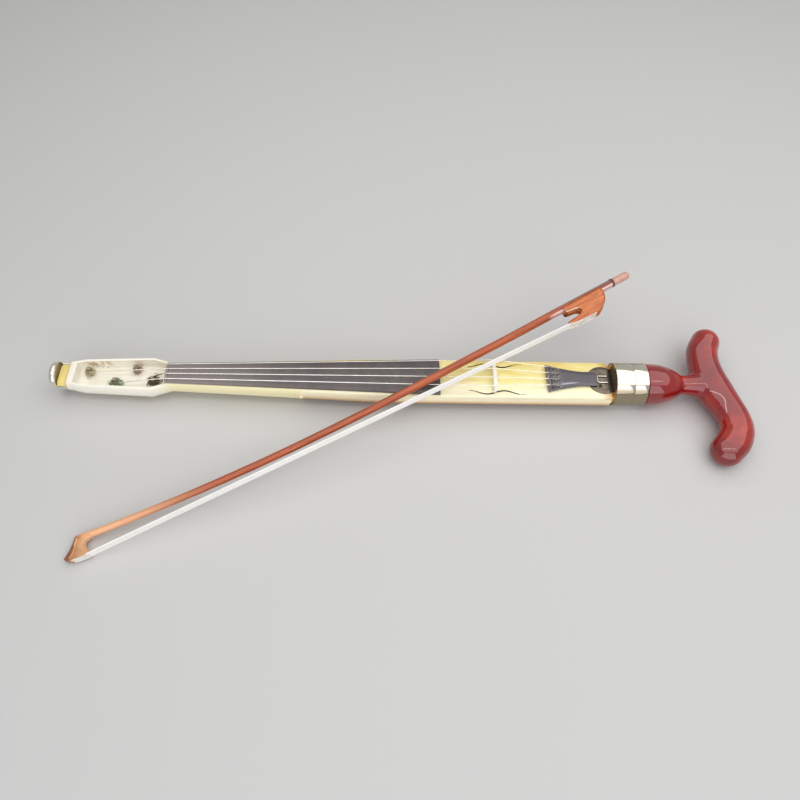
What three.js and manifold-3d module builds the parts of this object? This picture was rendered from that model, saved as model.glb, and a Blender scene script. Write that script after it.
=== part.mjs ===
// A cane violin: a walking stick whose shaft is a slim violin, lying open on its round back,
// with its bow laid across it. Millimetres, +Z up, +X from the small end ring to the handle.
//
// Every violin piece is built about the stick's own axis: X counts stations along it, from just
// before the end ring, and Z = 0 is the axis. The bow is built along its hair and then laid
// across the strings.
import * as THREE from "three";
import { mergeVertices } from "three/addons/utils/BufferGeometryUtils.js";
import Module from "manifold-3d";

const wasm = await Module();
wasm.setup();

// Clearances
const seatGap = 0.3;
const runningGap = 0.15;
const bowClearance = 0.5;
const overrun = 5;
const weldTolerance = 1e-5;

// Facets
const caneSides = 56;
const smallSides = 20;
const holeSides = 12;
const stringSides = 8;
const wireSegments = 4;

// Stations along the stick
const ringStart = 7;
const ringLength = 6;
const tongueStart = 12.6;
const sleeveEnd = 22;
const flareLength = 19;
const pegBoxEnd = 104;
const chamferEnd = 124;
const jointStation = 253;
const fullStation = 385;
const tailStation = 566;
const collarStart = 569.5;
const splitStation = 588;
const knobStart = 602;

// Radii and heights of the stick's section
const sleeveRadius = 14.1;
const sleeveWall = 0.9;
const shoulderRadius = 14.3;
const noseLength = 2.4;
const noseDrop = 1;
const ringWebThickness = 0.9;
const pegBoxStartRadius = 17.3;
const pegBoxEndRadius = 19.9;
const nutRadius = 14;
const jointRadius = 19.4;
const bodyRadius = 23;
const tailRadius = 22.6;
const blockRadius = 20.5;
const collarRadius = 21.9;
const cutHeight = 6.3;
const shelfHeight = 2.2;
const shelfHalfWidth = 10.4;
const sleeveHeight = 1.2;
const sleeveFit = 0.4;
const rebateHeight = 3.2;

// Hollows
const pegBoxWall = 2.2;
const pegBoxFloor = -6;
const troughStartMargin = 7;
const troughEndMargin = 5;
const bodyWall = 2.6;
const bellyThickness = 2.6;
const neckTenonLength = 12;
const tailBlockLength = 22;

const axisHeight = bodyRadius;

// Colours read from the photograph
const maple = new THREE.MeshStandardMaterial({ color: 0xf0d48c, roughness: 0.35, metalness: 0 });
const spruce = new THREE.MeshStandardMaterial({ color: 0xf6e2a8, roughness: 0.4, metalness: 0 });
const paleMaple = new THREE.MeshStandardMaterial({ color: 0xf3ead2, roughness: 0.5, metalness: 0 });
const ebony = new THREE.MeshStandardMaterial({ color: 0x2b2729, roughness: 0.35, metalness: 0 });
const bone = new THREE.MeshStandardMaterial({ color: 0x2f2a2b, roughness: 0.4, metalness: 0 });
const steel = new THREE.MeshStandardMaterial({ color: 0xb9babd, roughness: 0.3, metalness: 1 });
const nickel = new THREE.MeshStandardMaterial({ color: 0xd8d5c8, roughness: 0.3, metalness: 1 });
const darkSteel = new THREE.MeshStandardMaterial({ color: 0x6a6568, roughness: 0.4, metalness: 1 });
const brass = new THREE.MeshStandardMaterial({ color: 0xc09a4a, roughness: 0.35, metalness: 1 });
const lacquer = new THREE.MeshStandardMaterial({ color: 0x9c2f2c, roughness: 0.12, metalness: 0 });
const bowWood = new THREE.MeshStandardMaterial({ color: 0xb4562a, roughness: 0.3, metalness: 0 });
const horsehair = new THREE.MeshStandardMaterial({ color: 0xefece6, roughness: 0.7, metalness: 0 });
const ivory = new THREE.MeshStandardMaterial({ color: 0xd9d4c8, roughness: 0.4, metalness: 0 });
const buttonWood = new THREE.MeshStandardMaterial({ color: 0xa06a58, roughness: 0.3, metalness: 0 });

// Shape helpers

/** Turn a closed three.js geometry into a manifold solid. */
function solidOf(geometry) {
  const bare = geometry.clone();
  bare.deleteAttribute("normal");
  bare.deleteAttribute("uv");
  const merged = mergeVertices(bare, weldTolerance);
  const corners = merged.index.array;
  const kept = [];
  for (let i = 0; i < corners.length; i += 3) {
    const [a, b, c] = [corners[i], corners[i + 1], corners[i + 2]];
    if (a !== b && b !== c && c !== a) {
      kept.push(a, b, c);
    }
  }
  const vertProperties = new Float32Array(merged.attributes.position.array);
  const triVerts = new Uint32Array(kept);
  return new wasm.Manifold(new wasm.Mesh({ numProp: 3, vertProperties, triVerts }));
}

/** Turn a manifold solid back into a three.js geometry. */
function geometryOf(solid) {
  const { vertProperties, triVerts } = solid.getMesh();
  const geometry = new THREE.BufferGeometry();
  geometry.setAttribute("position", new THREE.BufferAttribute(vertProperties, 3));
  geometry.setIndex(new THREE.BufferAttribute(triVerts, 1));
  geometry.computeVertexNormals();
  return geometry;
}

/** A solid turned about the stick's axis from [station, radius] pairs. */
function revolve(profile, sides = caneSides) {
  const [first, last] = [profile[0], profile[profile.length - 1]];
  const points = [[first[0], 0], ...profile, [last[0], 0]].map(([x, r]) => new THREE.Vector2(r, x));
  const geometry = new THREE.LatheGeometry(points, sides);
  geometry.rotateZ(-Math.PI / 2);
  return solidOf(geometry);
}

/** A plain tube about the stick's axis. */
function tube(start, end, outer, inner, sides = caneSides) {
  const wall = revolve([[start, outer], [end, outer]], sides);
  return wall.subtract(revolve([[start - overrun, inner], [end + overrun, inner]], sides));
}

/** A box between two corners. */
function block([x0, x1], [y0, y1], [z0, z1]) {
  const geometry = new THREE.BoxGeometry(x1 - x0, y1 - y0, z1 - z0);
  geometry.translate((x0 + x1) / 2, (y0 + y1) / 2, (z0 + z1) / 2);
  return solidOf(geometry);
}

/** An upright cylinder. */
function post(x, y, z0, z1, radius, sides = smallSides) {
  const geometry = new THREE.CylinderGeometry(radius, radius, z1 - z0, sides);
  geometry.rotateX(Math.PI / 2);
  geometry.translate(x, y, (z0 + z1) / 2);
  return solidOf(geometry);
}

/** A plate of the given outline in the XY plane, between two heights. */
function plate(outline, z0, z1) {
  const shape = new THREE.Shape(outline.map(([x, y]) => new THREE.Vector2(x, y)));
  const geometry = new THREE.ExtrudeGeometry(shape, { depth: z1 - z0, bevelEnabled: false });
  geometry.translate(0, 0, z0);
  return solidOf(geometry);
}

/** A closed surface through sections whose points run from +Y towards +Z as X grows. */
function loft(sections) {
  const count = sections[0].length;
  const positions = [];
  const index = [];
  for (const section of sections) {
    for (const point of section) {
      positions.push(...point);
    }
  }
  for (let s = 0; s + 1 < sections.length; s += 1) {
    for (let i = 0; i < count; i += 1) {
      const a = s * count + i;
      const b = s * count + ((i + 1) % count);
      index.push(a, b, b + count, a, b + count, a + count);
    }
  }
  for (const [s, flip] of [[0, true], [sections.length - 1, false]]) {
    const middle = [0, 1, 2].map((k) => sections[s].reduce((sum, p) => sum + p[k], 0) / count);
    const centre = positions.length / 3;
    positions.push(...middle);
    for (let i = 0; i < count; i += 1) {
      const a = s * count + i;
      const b = s * count + ((i + 1) % count);
      index.push(centre, flip ? b : a, flip ? a : b);
    }
  }
  const geometry = new THREE.BufferGeometry();
  geometry.setAttribute("position", new THREE.Float32BufferAttribute(positions, 3));
  geometry.setIndex(index);
  geometry.computeVertexNormals();
  return geometry;
}

/** A ring of points about [x, y, z], square to X. */
function ring([x, y, z], radius, sides) {
  const points = [];
  for (let i = 0; i < sides; i += 1) {
    const turn = (i / sides) * Math.PI * 2;
    points.push([x, y + radius * Math.cos(turn), z + radius * Math.sin(turn)]);
  }
  return points;
}

/** A named mesh from a geometry or a manifold solid. */
function piece(name, shape, material) {
  const geometry = shape instanceof THREE.BufferGeometry ? shape : geometryOf(shape);
  const mesh = new THREE.Mesh(geometry, material);
  mesh.name = name;
  return mesh;
}

const mix = (a, b, t) => a + (b - a) * t;
const smooth = (t) => t * t * (3 - 2 * t);

/** Sample a radius law between two stations. */
function span(start, end, steps, law) {
  const rows = [];
  for (let i = 0; i <= steps; i += 1) {
    rows.push([mix(start, end, i / steps), law(i / steps)]);
  }
  return rows;
}

// The stick's outline

const flareEnd = sleeveEnd + flareLength;
const flareSteps = 6;
const noseSteps = 4;
const bodySteps = 6;

const flareLaw = (t) => mix(shoulderRadius, pegBoxStartRadius, smooth(t));
const jointLaw = (t) => mix(bodyRadius, jointRadius, (1 - t) ** 2);
const tailLaw = (t) => mix(bodyRadius, tailRadius, t * t);

const pegBoxOutline = [
  ...span(sleeveEnd + seatGap, flareEnd, flareSteps, flareLaw),
  [pegBoxEnd, pegBoxEndRadius],
  [chamferEnd, nutRadius],
];

const bodyOutline = [
  ...span(jointStation, fullStation, bodySteps, jointLaw),
  ...span(fullStation, tailStation, bodySteps, tailLaw).slice(1),
];

/** Everything under a level, between two stations. */
function under(start, end, level) {
  const reach = bodyRadius + overrun;
  return block([start, end], [-reach, reach], [-reach, level]);
}

// Wrest pins: one for each string, in a zigzag along the peg box
const pinRadius = 2.5;
const pinTop = 1.6;
const pinSquare = 3.6;
const pinSquareHeight = 3.6;
const pinDepth = 8;
const coilTurns = 4;
const coilPitch = 1.25;
const coilTop = 0.9;
const coilStepsPerTurn = 20;
const coilSegments = 3;

const stringNames = ["string_1", "string_2", "string_3", "string_4"];
const stringRadii = [0.34, 0.38, 0.42, 0.46];
const pinStations = [86, 40, 105, 68];
const pinOffsets = [10, 6.5, -3.5, -6];
const pinSides = [1, -1, 1, -1];

// Neck, peg box and tongue in one piece

/** The tongue that the end ring holds: a half round with a raised flat shelf along it. */
function makeTongue() {
  const radius = sleeveRadius - sleeveWall - seatGap;
  const round = revolve([[tongueStart, radius], [sleeveEnd + overrun, radius]]);
  const shelf = block(
    [tongueStart, sleeveEnd + overrun],
    [-shelfHalfWidth, shelfHalfWidth],
    [-sleeveRadius, shelfHeight],
  );
  return round.intersect(under(0, pegBoxEnd, sleeveHeight - sleeveFit).add(shelf));
}

function makeNeck() {
  const outline = [...pegBoxOutline, [jointStation, jointRadius]];
  let neck = revolve(outline).intersect(under(0, jointStation, cutHeight)).add(makeTongue());

  const inner = pegBoxOutline.map(([x, r]) => [x, r - pegBoxWall]);
  const troughStart = sleeveEnd + troughStartMargin;
  const troughEnd = chamferEnd - troughEndMargin;
  const trough = revolve(inner).intersect(
    block([troughStart, troughEnd], [-bodyRadius, bodyRadius], [pegBoxFloor, bodyRadius]),
  );
  neck = neck.subtract(trough);

  const pinFoot = pegBoxFloor - pinDepth - seatGap;
  pinStations.forEach((x, i) => {
    neck = neck.subtract(post(x, pinOffsets[i], pinFoot, 0, pinRadius + runningGap));
  });

  const tenonRadius = jointRadius - bodyWall - seatGap;
  const tenonTop = cutHeight - bellyThickness - seatGap;
  const tenon = revolve([
    [jointStation - overrun, tenonRadius],
    [jointStation + neckTenonLength, tenonRadius],
  ]).intersect(under(0, tailStation, tenonTop));
  return neck.add(tenon).subtract(studHole(1)).subtract(studHole(-1));
}

/** The end ring: a full hoop that runs on as a half sleeve under the tongue. */
function makeEndRing() {
  const inner = sleeveRadius - sleeveWall;
  const noseLaw = (t) => sleeveRadius - noseDrop * (1 - t) ** 2;
  const noseEnd = ringStart + noseLength;
  const nose = span(ringStart, noseEnd, noseSteps, noseLaw);
  const mouth = inner - noseDrop;
  const recess = revolve([
    [ringStart - overrun, mouth],
    [noseEnd - ringWebThickness, mouth],
  ]);
  const bore = revolve([
    [noseEnd, inner],
    [sleeveEnd + overrun, inner],
  ]);
  const sleeve = revolve([...nose, [sleeveEnd, sleeveRadius]]).subtract(recess).subtract(bore);
  const hoopEnd = ringStart + ringLength;
  const half = [-bodyRadius, bodyRadius];
  return sleeve.subtract(block([hoopEnd, sleeveEnd + overrun], half, [sleeveHeight, bodyRadius]));
}

// Sound box

function makeBodyShell() {
  const cavity = bodyOutline.map(([x, r]) => [x, r - bodyWall]);
  const openCavity = [[jointStation - overrun, cavity[0][1]], ...cavity];
  openCavity.push([tailStation + overrun, cavity[cavity.length - 1][1]]);
  const shell = revolve(bodyOutline).subtract(revolve(openCavity));
  const lower = shell.intersect(under(jointStation, tailStation, cutHeight - bellyThickness));
  return lower.subtract(studHole(1)).subtract(studHole(-1));
}

const bridgeStation = 447;
const fHoleOffset = 16.4;
const fHoleWave = 2.1;
const fHoleWidth = 1.7;
const fHoleStart = 421.5;
const fHoleEnd = 478;
const fHoleSteps = 24;
const fHoleWaves = 1.6;
const fHoleTipShare = 0.2;

/** One wavy sound slot, open through the belly. */
function makeSoundSlot(side) {
  const near = [];
  const far = [];
  for (let i = 0; i <= fHoleSteps; i += 1) {
    const t = i / fHoleSteps;
    const x = mix(fHoleStart, fHoleEnd, t);
    const centre = fHoleOffset - fHoleWave * Math.cos(t * fHoleWaves * Math.PI * 2);
    const half = (fHoleWidth / 2) * Math.sqrt(Math.max(Math.sin(t * Math.PI), fHoleTipShare));
    near.push([x, side * centre - half]);
    far.unshift([x, side * centre + half]);
  }
  return plate([...near, ...far], cutHeight - bellyThickness - overrun, cutHeight + overrun);
}

function makeSoundboard() {
  const reach = bodyRadius + overrun;
  const heights = [cutHeight - bellyThickness, cutHeight];
  const layer = block([jointStation, tailStation], [-reach, reach], heights);
  const board = revolve(bodyOutline).intersect(layer);
  return board.subtract(makeSoundSlot(1)).subtract(makeSoundSlot(-1));
}

const barLength = 170;
const barWidth = 4;
const barDepth = 6;
const barOffset = -9;
const barSteps = 8;
const barEndShare = 0.3;

/** The bass bar under the belly: deep at the middle, thin at its ends. */
function makeBassBar() {
  const top = cutHeight - bellyThickness - seatGap;
  const outline = [];
  for (let i = 0; i <= barSteps; i += 1) {
    const t = i / barSteps;
    const depth = barDepth * mix(barEndShare, 1, Math.sin(t * Math.PI));
    outline.push([mix(-barLength / 2, barLength / 2, t), -depth]);
  }
  outline.push([barLength / 2, 0], [-barLength / 2, 0]);
  const shape = new THREE.Shape(outline.map(([x, y]) => new THREE.Vector2(x, y)));
  const geometry = new THREE.ExtrudeGeometry(shape, { depth: barWidth, bevelEnabled: false });
  geometry.rotateX(Math.PI / 2);
  geometry.translate(bridgeStation, barOffset + barWidth / 2, top);
  return geometry;
}

const soundPostRadius = 2.5;
const soundPostOffset = 9;

/** The sound post, standing between the round back and the belly. */
function makeSoundPost() {
  const inner = bodyRadius - bodyWall;
  const reach = soundPostOffset + soundPostRadius;
  const foot = -Math.sqrt(inner ** 2 - reach ** 2) + seatGap;
  const x = bridgeStation + soundPostOffset;
  return post(x, soundPostOffset, foot, cutHeight - bellyThickness - seatGap, soundPostRadius);
}

const spigotRadius = 5;
const socketWall = 1.6;
const socketDepth = 18;
const landHalfWidth = 15.6;

/** The block that closes the body and carries the tail end, the collar and the handle's socket. */
function makeTailBlock() {
  const fitted = tailRadius - bodyWall - seatGap;
  const start = tailStation - tailBlockLength;
  const inside = revolve([[start, fitted], [tailStation, fitted]])
    .intersect(under(start, tailStation, cutHeight - bellyThickness - seatGap));
  const end = revolve([[tailStation, blockRadius], [splitStation, blockRadius]]);
  const stretch = [tailStation - overrun, collarStart];
  const above = block(stretch, [-bodyRadius, bodyRadius], [cutHeight, bodyRadius]);
  const far = block(stretch, [landHalfWidth, bodyRadius], [rebateHeight, bodyRadius]);
  const near = block(stretch, [-bodyRadius, -landHalfWidth], [rebateHeight, bodyRadius]);
  const bore = revolve([
    [splitStation - socketDepth, spigotRadius + socketWall + seatGap],
    [splitStation + overrun, spigotRadius + socketWall + seatGap],
  ], smallSides);
  return inside.add(end.subtract(above).subtract(far).subtract(near)).subtract(bore);
}

function makeSocket() {
  const start = splitStation - socketDepth + seatGap;
  return tube(start, splitStation, spigotRadius + socketWall, spigotRadius + runningGap, smallSides);
}

function makeBodyCollar() {
  return tube(collarStart, splitStation, collarRadius, blockRadius + seatGap);
}

const studRadius = 2.6;
const studHeight = 1.6;
const studReach = 2;

/** A turned shape about the stud's own axis, from [height above the stick's side, radius] pairs. */
function turnStud(side, profile) {
  const outline = profile.map(([rise, r]) => new THREE.Vector2(r, rise));
  const geometry = new THREE.LatheGeometry(outline, smallSides);
  geometry.rotateX(side > 0 ? 0 : Math.PI);
  geometry.translate(jointStation, side * jointRadius, -bodyWall);
  return geometry;
}

/** A small locating stud at the neck joint, let into the wall and domed outside. */
function makeStud(side) {
  const shank = [[-studReach, 0], [-studReach, studRadius], [0, studRadius]];
  return turnStud(side, [...shank, [studHeight, studRadius / 2], [studHeight, 0]]);
}

/** The hole that a locating stud sits in. */
function studHole(side) {
  const radius = studRadius + seatGap;
  const deep = -studReach - seatGap;
  return solidOf(turnStud(side, [[deep, 0], [deep, radius], [overrun, radius], [overrun, 0]]));
}

// Fingerboard and nut

const nutStation = 118.6;
const nutThickness = 2.6;
const fingerboardEnd = 392;
const nutHalfWidth = 11.6;
const fingerboardEndHalfWidth = 21;
const nutEdgeThickness = 2.4;
const endEdgeThickness = 3;
const camberRadius = 75;
const camberSteps = 10;

const fingerboardStart = nutStation + nutThickness;

/** Height of the camber at an offset, above its own edge. */
function camberRise(y, half) {
  return Math.sqrt(camberRadius ** 2 - y ** 2) - Math.sqrt(camberRadius ** 2 - half ** 2);
}

/** One cross-section of the fingerboard: a flat foot, two sides and a cambered top. */
function boardSection(x, half, edge) {
  const points = [[x, half, cutHeight]];
  for (let i = 0; i <= camberSteps; i += 1) {
    const y = mix(half, -half, i / camberSteps);
    points.push([x, y, cutHeight + edge + camberRise(y, half)]);
  }
  points.push([x, -half, cutHeight]);
  return points;
}

function makeFingerboard() {
  return loft([
    boardSection(fingerboardStart, nutHalfWidth, nutEdgeThickness),
    boardSection(fingerboardEnd, fingerboardEndHalfWidth, endEdgeThickness),
  ]);
}

const nutRise = 3.4;
const nutFall = 0.2;

function makeNut() {
  return loft([
    boardSection(nutStation, nutHalfWidth - seatGap, nutRise - nutFall),
    boardSection(fingerboardStart, nutHalfWidth - seatGap, nutRise),
  ]);
}

// Bridge

const bridgeThickness = 3.6;
const bridgeCrown = 2;
const bridgeHalfWidth = 18.5;
const bridgeFootHalfWidth = 17;
const bridgeHeight = 10.2;
const bridgeArch = 0.8;
const bridgeShoulder = 5.4;
const footHeight = 1.6;
const footLength = 8;
const archHeight = 4;
const bridgeSegments = 8;

/** The bridge's outline seen along the strings. */
function bridgeShape() {
  const foot = bridgeFootHalfWidth;
  const waist = foot - footHeight;
  const edge = bridgeHalfWidth - footHeight;
  const side = bridgeHeight - bridgeArch;
  const shape = new THREE.Shape();
  shape.moveTo(-foot, 0);
  shape.lineTo(footLength - foot, 0);
  shape.quadraticCurveTo(0, 2 * archHeight, foot - footLength, 0);
  shape.lineTo(foot, 0);
  shape.lineTo(foot, footHeight);
  shape.quadraticCurveTo(waist, bridgeShoulder / 2, bridgeHalfWidth, bridgeShoulder);
  shape.lineTo(edge, side);
  shape.quadraticCurveTo(0, bridgeHeight + bridgeArch, -edge, side);
  shape.lineTo(-bridgeHalfWidth, bridgeShoulder);
  shape.quadraticCurveTo(-waist, bridgeShoulder / 2, -foot, footHeight);
  return shape;
}

/** The bridge: its outline given a thickness, then thinned towards the crown. */
function makeBridge() {
  const geometry = new THREE.ExtrudeGeometry(bridgeShape(), {
    depth: bridgeThickness,
    bevelEnabled: false,
    curveSegments: bridgeSegments,
  });
  geometry.rotateX(Math.PI / 2);
  geometry.rotateZ(Math.PI / 2);
  geometry.translate(bridgeStation - bridgeThickness / 2, 0, cutHeight);
  const body = solidOf(geometry);
  const taper = new THREE.Shape();
  taper.moveTo(-bridgeThickness, 0);
  taper.lineTo(bridgeThickness, 0);
  taper.lineTo(bridgeCrown / 2, bridgeHeight + overrun);
  taper.lineTo(-bridgeCrown / 2, bridgeHeight + overrun);
  const depth = 4 * bridgeHalfWidth;
  const wedge = new THREE.ExtrudeGeometry(taper, { depth, bevelEnabled: false });
  wedge.rotateX(Math.PI / 2);
  wedge.translate(bridgeStation, 2 * bridgeHalfWidth, cutHeight);
  return body.intersect(solidOf(wedge));
}

// Tailpiece, its plate and its loop

const tailpieceStart = 501;
const tailpieceEnd = 552.5;
const tailpieceHalfWidth = 17;
const tailpieceWaist = 8.5;
const tailpieceThickness = 3;
const tailpieceLift = 1.4;
const tailpieceCamber = 1.6;
const waistShare = 0.75;
const waistPower = 1.5;
const holeRadius = 1.5;
const holeStation = 513.5;
const saddleThickness = 1.4;
const saddleHeight = 1.2;
const tailpieceSteps = 12;
const archSteps = 6;

/** Half the tailpiece's width at a share of its length: wide, then drawn in to a straight waist. */
function tailpieceHalf(share) {
  const t = Math.min(share / waistShare, 1);
  return mix(tailpieceHalfWidth, tailpieceWaist, 1 - (1 - t) ** waistPower);
}

/** A cross-section with a flat foot and an arched top. */
function archedSection(x, half, foot, edge, camber) {
  const points = [[x, half, foot]];
  for (let i = 0; i <= archSteps; i += 1) {
    const y = mix(half, -half, i / archSteps);
    points.push([x, y, foot + edge + camber * (1 - (y / half) ** 2)]);
  }
  points.push([x, -half, foot]);
  return points;
}

const stringSpacingAtTail = 7.2;
const stringShares = [1.5, 0.5, -0.5, -1.5];

function makeTailpiece() {
  const sections = [];
  const foot = cutHeight + tailpieceLift;
  const edge = tailpieceThickness / 2;
  for (let i = 0; i <= tailpieceSteps; i += 1) {
    const share = i / tailpieceSteps;
    const x = mix(tailpieceStart, tailpieceEnd, share);
    sections.push(archedSection(x, tailpieceHalf(share), foot, edge, tailpieceCamber));
  }
  let body = solidOf(loft(sections));
  const above = foot + tailpieceThickness + overrun;
  for (const share of stringShares) {
    const y = share * stringSpacingAtTail;
    body = body.subtract(post(holeStation, y, cutHeight, above, holeRadius, holeSides));
  }
  return body;
}

/** The small fret across the wide end that lifts the strings clear. */
function makeTailSaddle() {
  const half = tailpieceHalfWidth - saddleThickness;
  const foot = cutHeight + tailpieceLift + tailpieceThickness / 2 + tailpieceCamber + seatGap;
  const edge = saddleHeight / 2;
  const x = tailpieceStart + 3 * saddleThickness;
  return loft([
    archedSection(x, half, foot, edge, edge),
    archedSection(x + saddleThickness, half, foot, edge, edge),
  ]);
}

const tailPlateStart = 543;
const tailPlateRadius = 16.6;
const tailPlateThickness = 1;
const plateArcSteps = 24;

/** The round metal plate on the belly that carries the tail loop, cut off at the collar. */
function makeTailPlate() {
  const middle = tailPlateStart + tailPlateRadius;
  const reach = collarStart - seatGap - middle;
  const cut = Math.acos(reach / tailPlateRadius);
  const outline = [];
  for (let i = 0; i <= plateArcSteps; i += 1) {
    const turn = mix(cut, 2 * Math.PI - cut, i / plateArcSteps);
    const x = middle + tailPlateRadius * Math.cos(turn);
    outline.push([x, tailPlateRadius * Math.sin(turn)]);
  }
  return plate(outline, cutHeight, cutHeight + tailPlateThickness);
}

const loopWire = 0.5;
const loopHalfWidth = 3.8;
const loopStart = 553.6;
const loopEnd = 565;
const loopSteps = 44;

/** The wire loop that holds the tailpiece, with its two legs let down to the plate. */
function makeTailLoop() {
  const high = cutHeight + tailPlateThickness + 2 * loopWire + seatGap;
  const low = cutHeight + tailPlateThickness + loopWire + seatGap;
  const bend = 2 * loopWire;
  const route = [
    [loopEnd, loopHalfWidth, low],
    [loopEnd - bend, loopHalfWidth, high],
    [loopStart + bend, loopHalfWidth, high],
    [loopStart, loopHalfWidth - bend, high],
    [loopStart, bend - loopHalfWidth, high],
    [loopStart + bend, -loopHalfWidth, high],
    [loopEnd - bend, -loopHalfWidth, high],
    [loopEnd, -loopHalfWidth, low],
  ].map((point) => new THREE.Vector3(...point));
  const path = new THREE.CatmullRomCurve3(route, false, "centripetal");
  const section = new THREE.Shape().absarc(0, 0, loopWire, 0, Math.PI * 2);
  return new THREE.ExtrudeGeometry(section, {
    steps: loopSteps,
    curveSegments: wireSegments,
    bevelEnabled: false,
    extrudePath: path,
  });
}

const screwHeadRadius = 1.7;
const screwHeadHeight = 1;

function makeTailScrew() {
  const z = cutHeight + tailPlateThickness;
  const x = loopStart + loopWire + screwHeadRadius;
  return post(x, -loopHalfWidth - 2 * screwHeadRadius, z, z + screwHeadHeight, screwHeadRadius);
}

// Strings, pins and coils

const nutSpacing = 5.8;
const bridgeSpacing = 10.6;
const nutTop = cutHeight + nutRise;
const bridgeTop = cutHeight + bridgeHeight;

/** The points that one string runs through, from its pin to its hole in the tailpiece. */
function stringRoute(i) {
  const radius = stringRadii[i];
  const share = stringShares[i];
  const nutY = share * nutSpacing;
  const bridgeY = share * bridgeSpacing;
  const tailY = share * stringSpacingAtTail;
  const lift = radius + seatGap;
  const nutZ = nutTop + camberRise(nutY, nutHalfWidth - seatGap) + lift;
  const bridgeZ = bridgeTop + lift;
  const saddleX = tailpieceStart + 3.5 * saddleThickness;
  const saddleZ = cutHeight + tailpieceLift + tailpieceThickness / 2 + tailpieceCamber + saddleHeight;
  const coilY = pinOffsets[i] + pinSides[i] * (pinRadius + radius + seatGap);
  const leave = pinStations[i] + 2 * radius;
  return [
    [leave, coilY, coilTop + radius + lift],
    [nutStation, nutY, nutZ],
    [fingerboardStart, nutY, nutZ],
    [bridgeStation - bridgeCrown / 2, bridgeY, bridgeZ],
    [bridgeStation + bridgeCrown / 2, bridgeY, bridgeZ],
    [saddleX, tailY, saddleZ + 2 * lift],
    [holeStation - holeRadius / 2, tailY, saddleZ - saddleHeight + lift],
    [holeStation + holeRadius / 2, tailY, saddleZ - saddleHeight - tailpieceThickness / 2],
  ];
}

function makeString(i) {
  const sections = stringRoute(i).map((point) => ring(point, stringRadii[i], stringSides));
  return piece(stringNames[i], loft(sections), steel);
}

/** A wrest pin: a round shank in the floor of the peg box and a square head for the key. */
function makePin(i) {
  const [x, y] = [pinStations[i], pinOffsets[i]];
  const shank = post(x, y, pegBoxFloor - pinDepth, pinTop, pinRadius);
  const half = pinSquare / 2;
  const heights = [pinTop - overrun, pinTop + pinSquareHeight];
  const head = block([x - half, x + half], [y - half, y + half], heights);
  return piece(`wrest_pin_${i + 1}`, shank.add(head), darkSteel);
}

/** The turns of string on a wrest pin, as one unbroken helix. */
class Winding extends THREE.Curve {
  constructor(x, y, top, radius, side) {
    super();
    this.at = [x, y, top, radius, side];
  }

  getPoint(t, target = new THREE.Vector3()) {
    const [x, y, top, radius, side] = this.at;
    const turn = side * (Math.PI / 2 + t * coilTurns * Math.PI * 2);
    const z = top - t * coilTurns * coilPitch;
    return target.set(x + radius * Math.cos(turn), y + radius * Math.sin(turn), z);
  }
}

function makeCoil(i) {
  const wire = stringRadii[i];
  const radius = pinRadius + wire + seatGap;
  const path = new Winding(pinStations[i], pinOffsets[i], coilTop, radius, pinSides[i]);
  const section = new THREE.Shape().absarc(0, 0, wire, 0, Math.PI * 2);
  const geometry = new THREE.ExtrudeGeometry(section, {
    steps: coilTurns * coilStepsPerTurn,
    curveSegments: coilSegments,
    bevelEnabled: false,
    extrudePath: path,
  });
  return piece(`string_coil_${i + 1}`, geometry, steel);
}

// Handle

const knobRadius = 21.4;
const knobStraight = 8;
const knobEnd = 641;
const knobSteps = 10;
const knobPower = 0.7;
const neckRadius = 10.3;
const neckStation = 648;
const neckFlare = 15;
const neckSwell = 1.2;
const stemRadius = 14.3;
const armStation = 668;
const handleTilt = 6.2;

// Centre line of the derby grip from its short beak to its long nose
const gripStation = 680;
const gripSwing = 14;
const gripReach = 71;
const gripRadius = 18.6;
const gripFlatShare = 0.9;
const gripShares = [
  [-0.03, 0.735, 0.8],
  [-0.44, 0.563, 0.87],
  [-0.56, 0.352, 0.89],
  [-0.44, 0.113, 0.955],
  [-0.06, -0.127, 0.98],
  [0.46, -0.338, 0.88],
  [0.82, -0.535, 0.865],
  [0.84, -0.718, 0.9],
  [0.42, -0.887, 0.93],
  [-0.24, -1.02, 0.895],
];
const gripSides = 22;
const gripSteps = 20;
const tipSteps = 5;

/** Points of a circle about the path, in the plane square to the stick's own plane. */
function gripRing(centre, tangent, radius) {
  const points = [];
  for (let i = 0; i < gripSides; i += 1) {
    const turn = (i / gripSides) * Math.PI * 2;
    const side = radius * Math.cos(turn);
    const rise = radius * gripFlatShare * Math.sin(turn);
    points.push([centre.x - side * tangent.y, centre.y + side * tangent.x, rise]);
  }
  return points;
}

/** The grip, swept along its curved centre line with rounded ends. */
function makeGrip() {
  const route = new THREE.CatmullRomCurve3(gripShares.map(([along, reach, girth]) => {
    const station = gripStation + along * gripSwing;
    return new THREE.Vector3(station, reach * gripReach, girth * gripRadius);
  }));
  const sections = [];
  const lay = (t, advance, share) => {
    const at = route.getPoint(t);
    const ahead = route.getTangent(t);
    const tangent = new THREE.Vector2(ahead.x, ahead.y).normalize();
    const centre = new THREE.Vector2(at.x, at.y).addScaledVector(tangent, advance * at.z);
    sections.push(gripRing(centre, tangent, at.z * share));
  };
  for (let i = tipSteps - 1; i > 0; i -= 1) {
    const turn = (i / tipSteps) * (Math.PI / 2);
    lay(0, -Math.sin(turn), Math.cos(turn));
  }
  for (let i = 0; i <= gripSteps; i += 1) {
    lay(i / gripSteps, 0, 1);
  }
  for (let i = 1; i < tipSteps; i += 1) {
    const turn = (i / tipSteps) * (Math.PI / 2);
    lay(1, Math.sin(turn), Math.cos(turn));
  }
  return solidOf(loft(sections));
}

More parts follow.
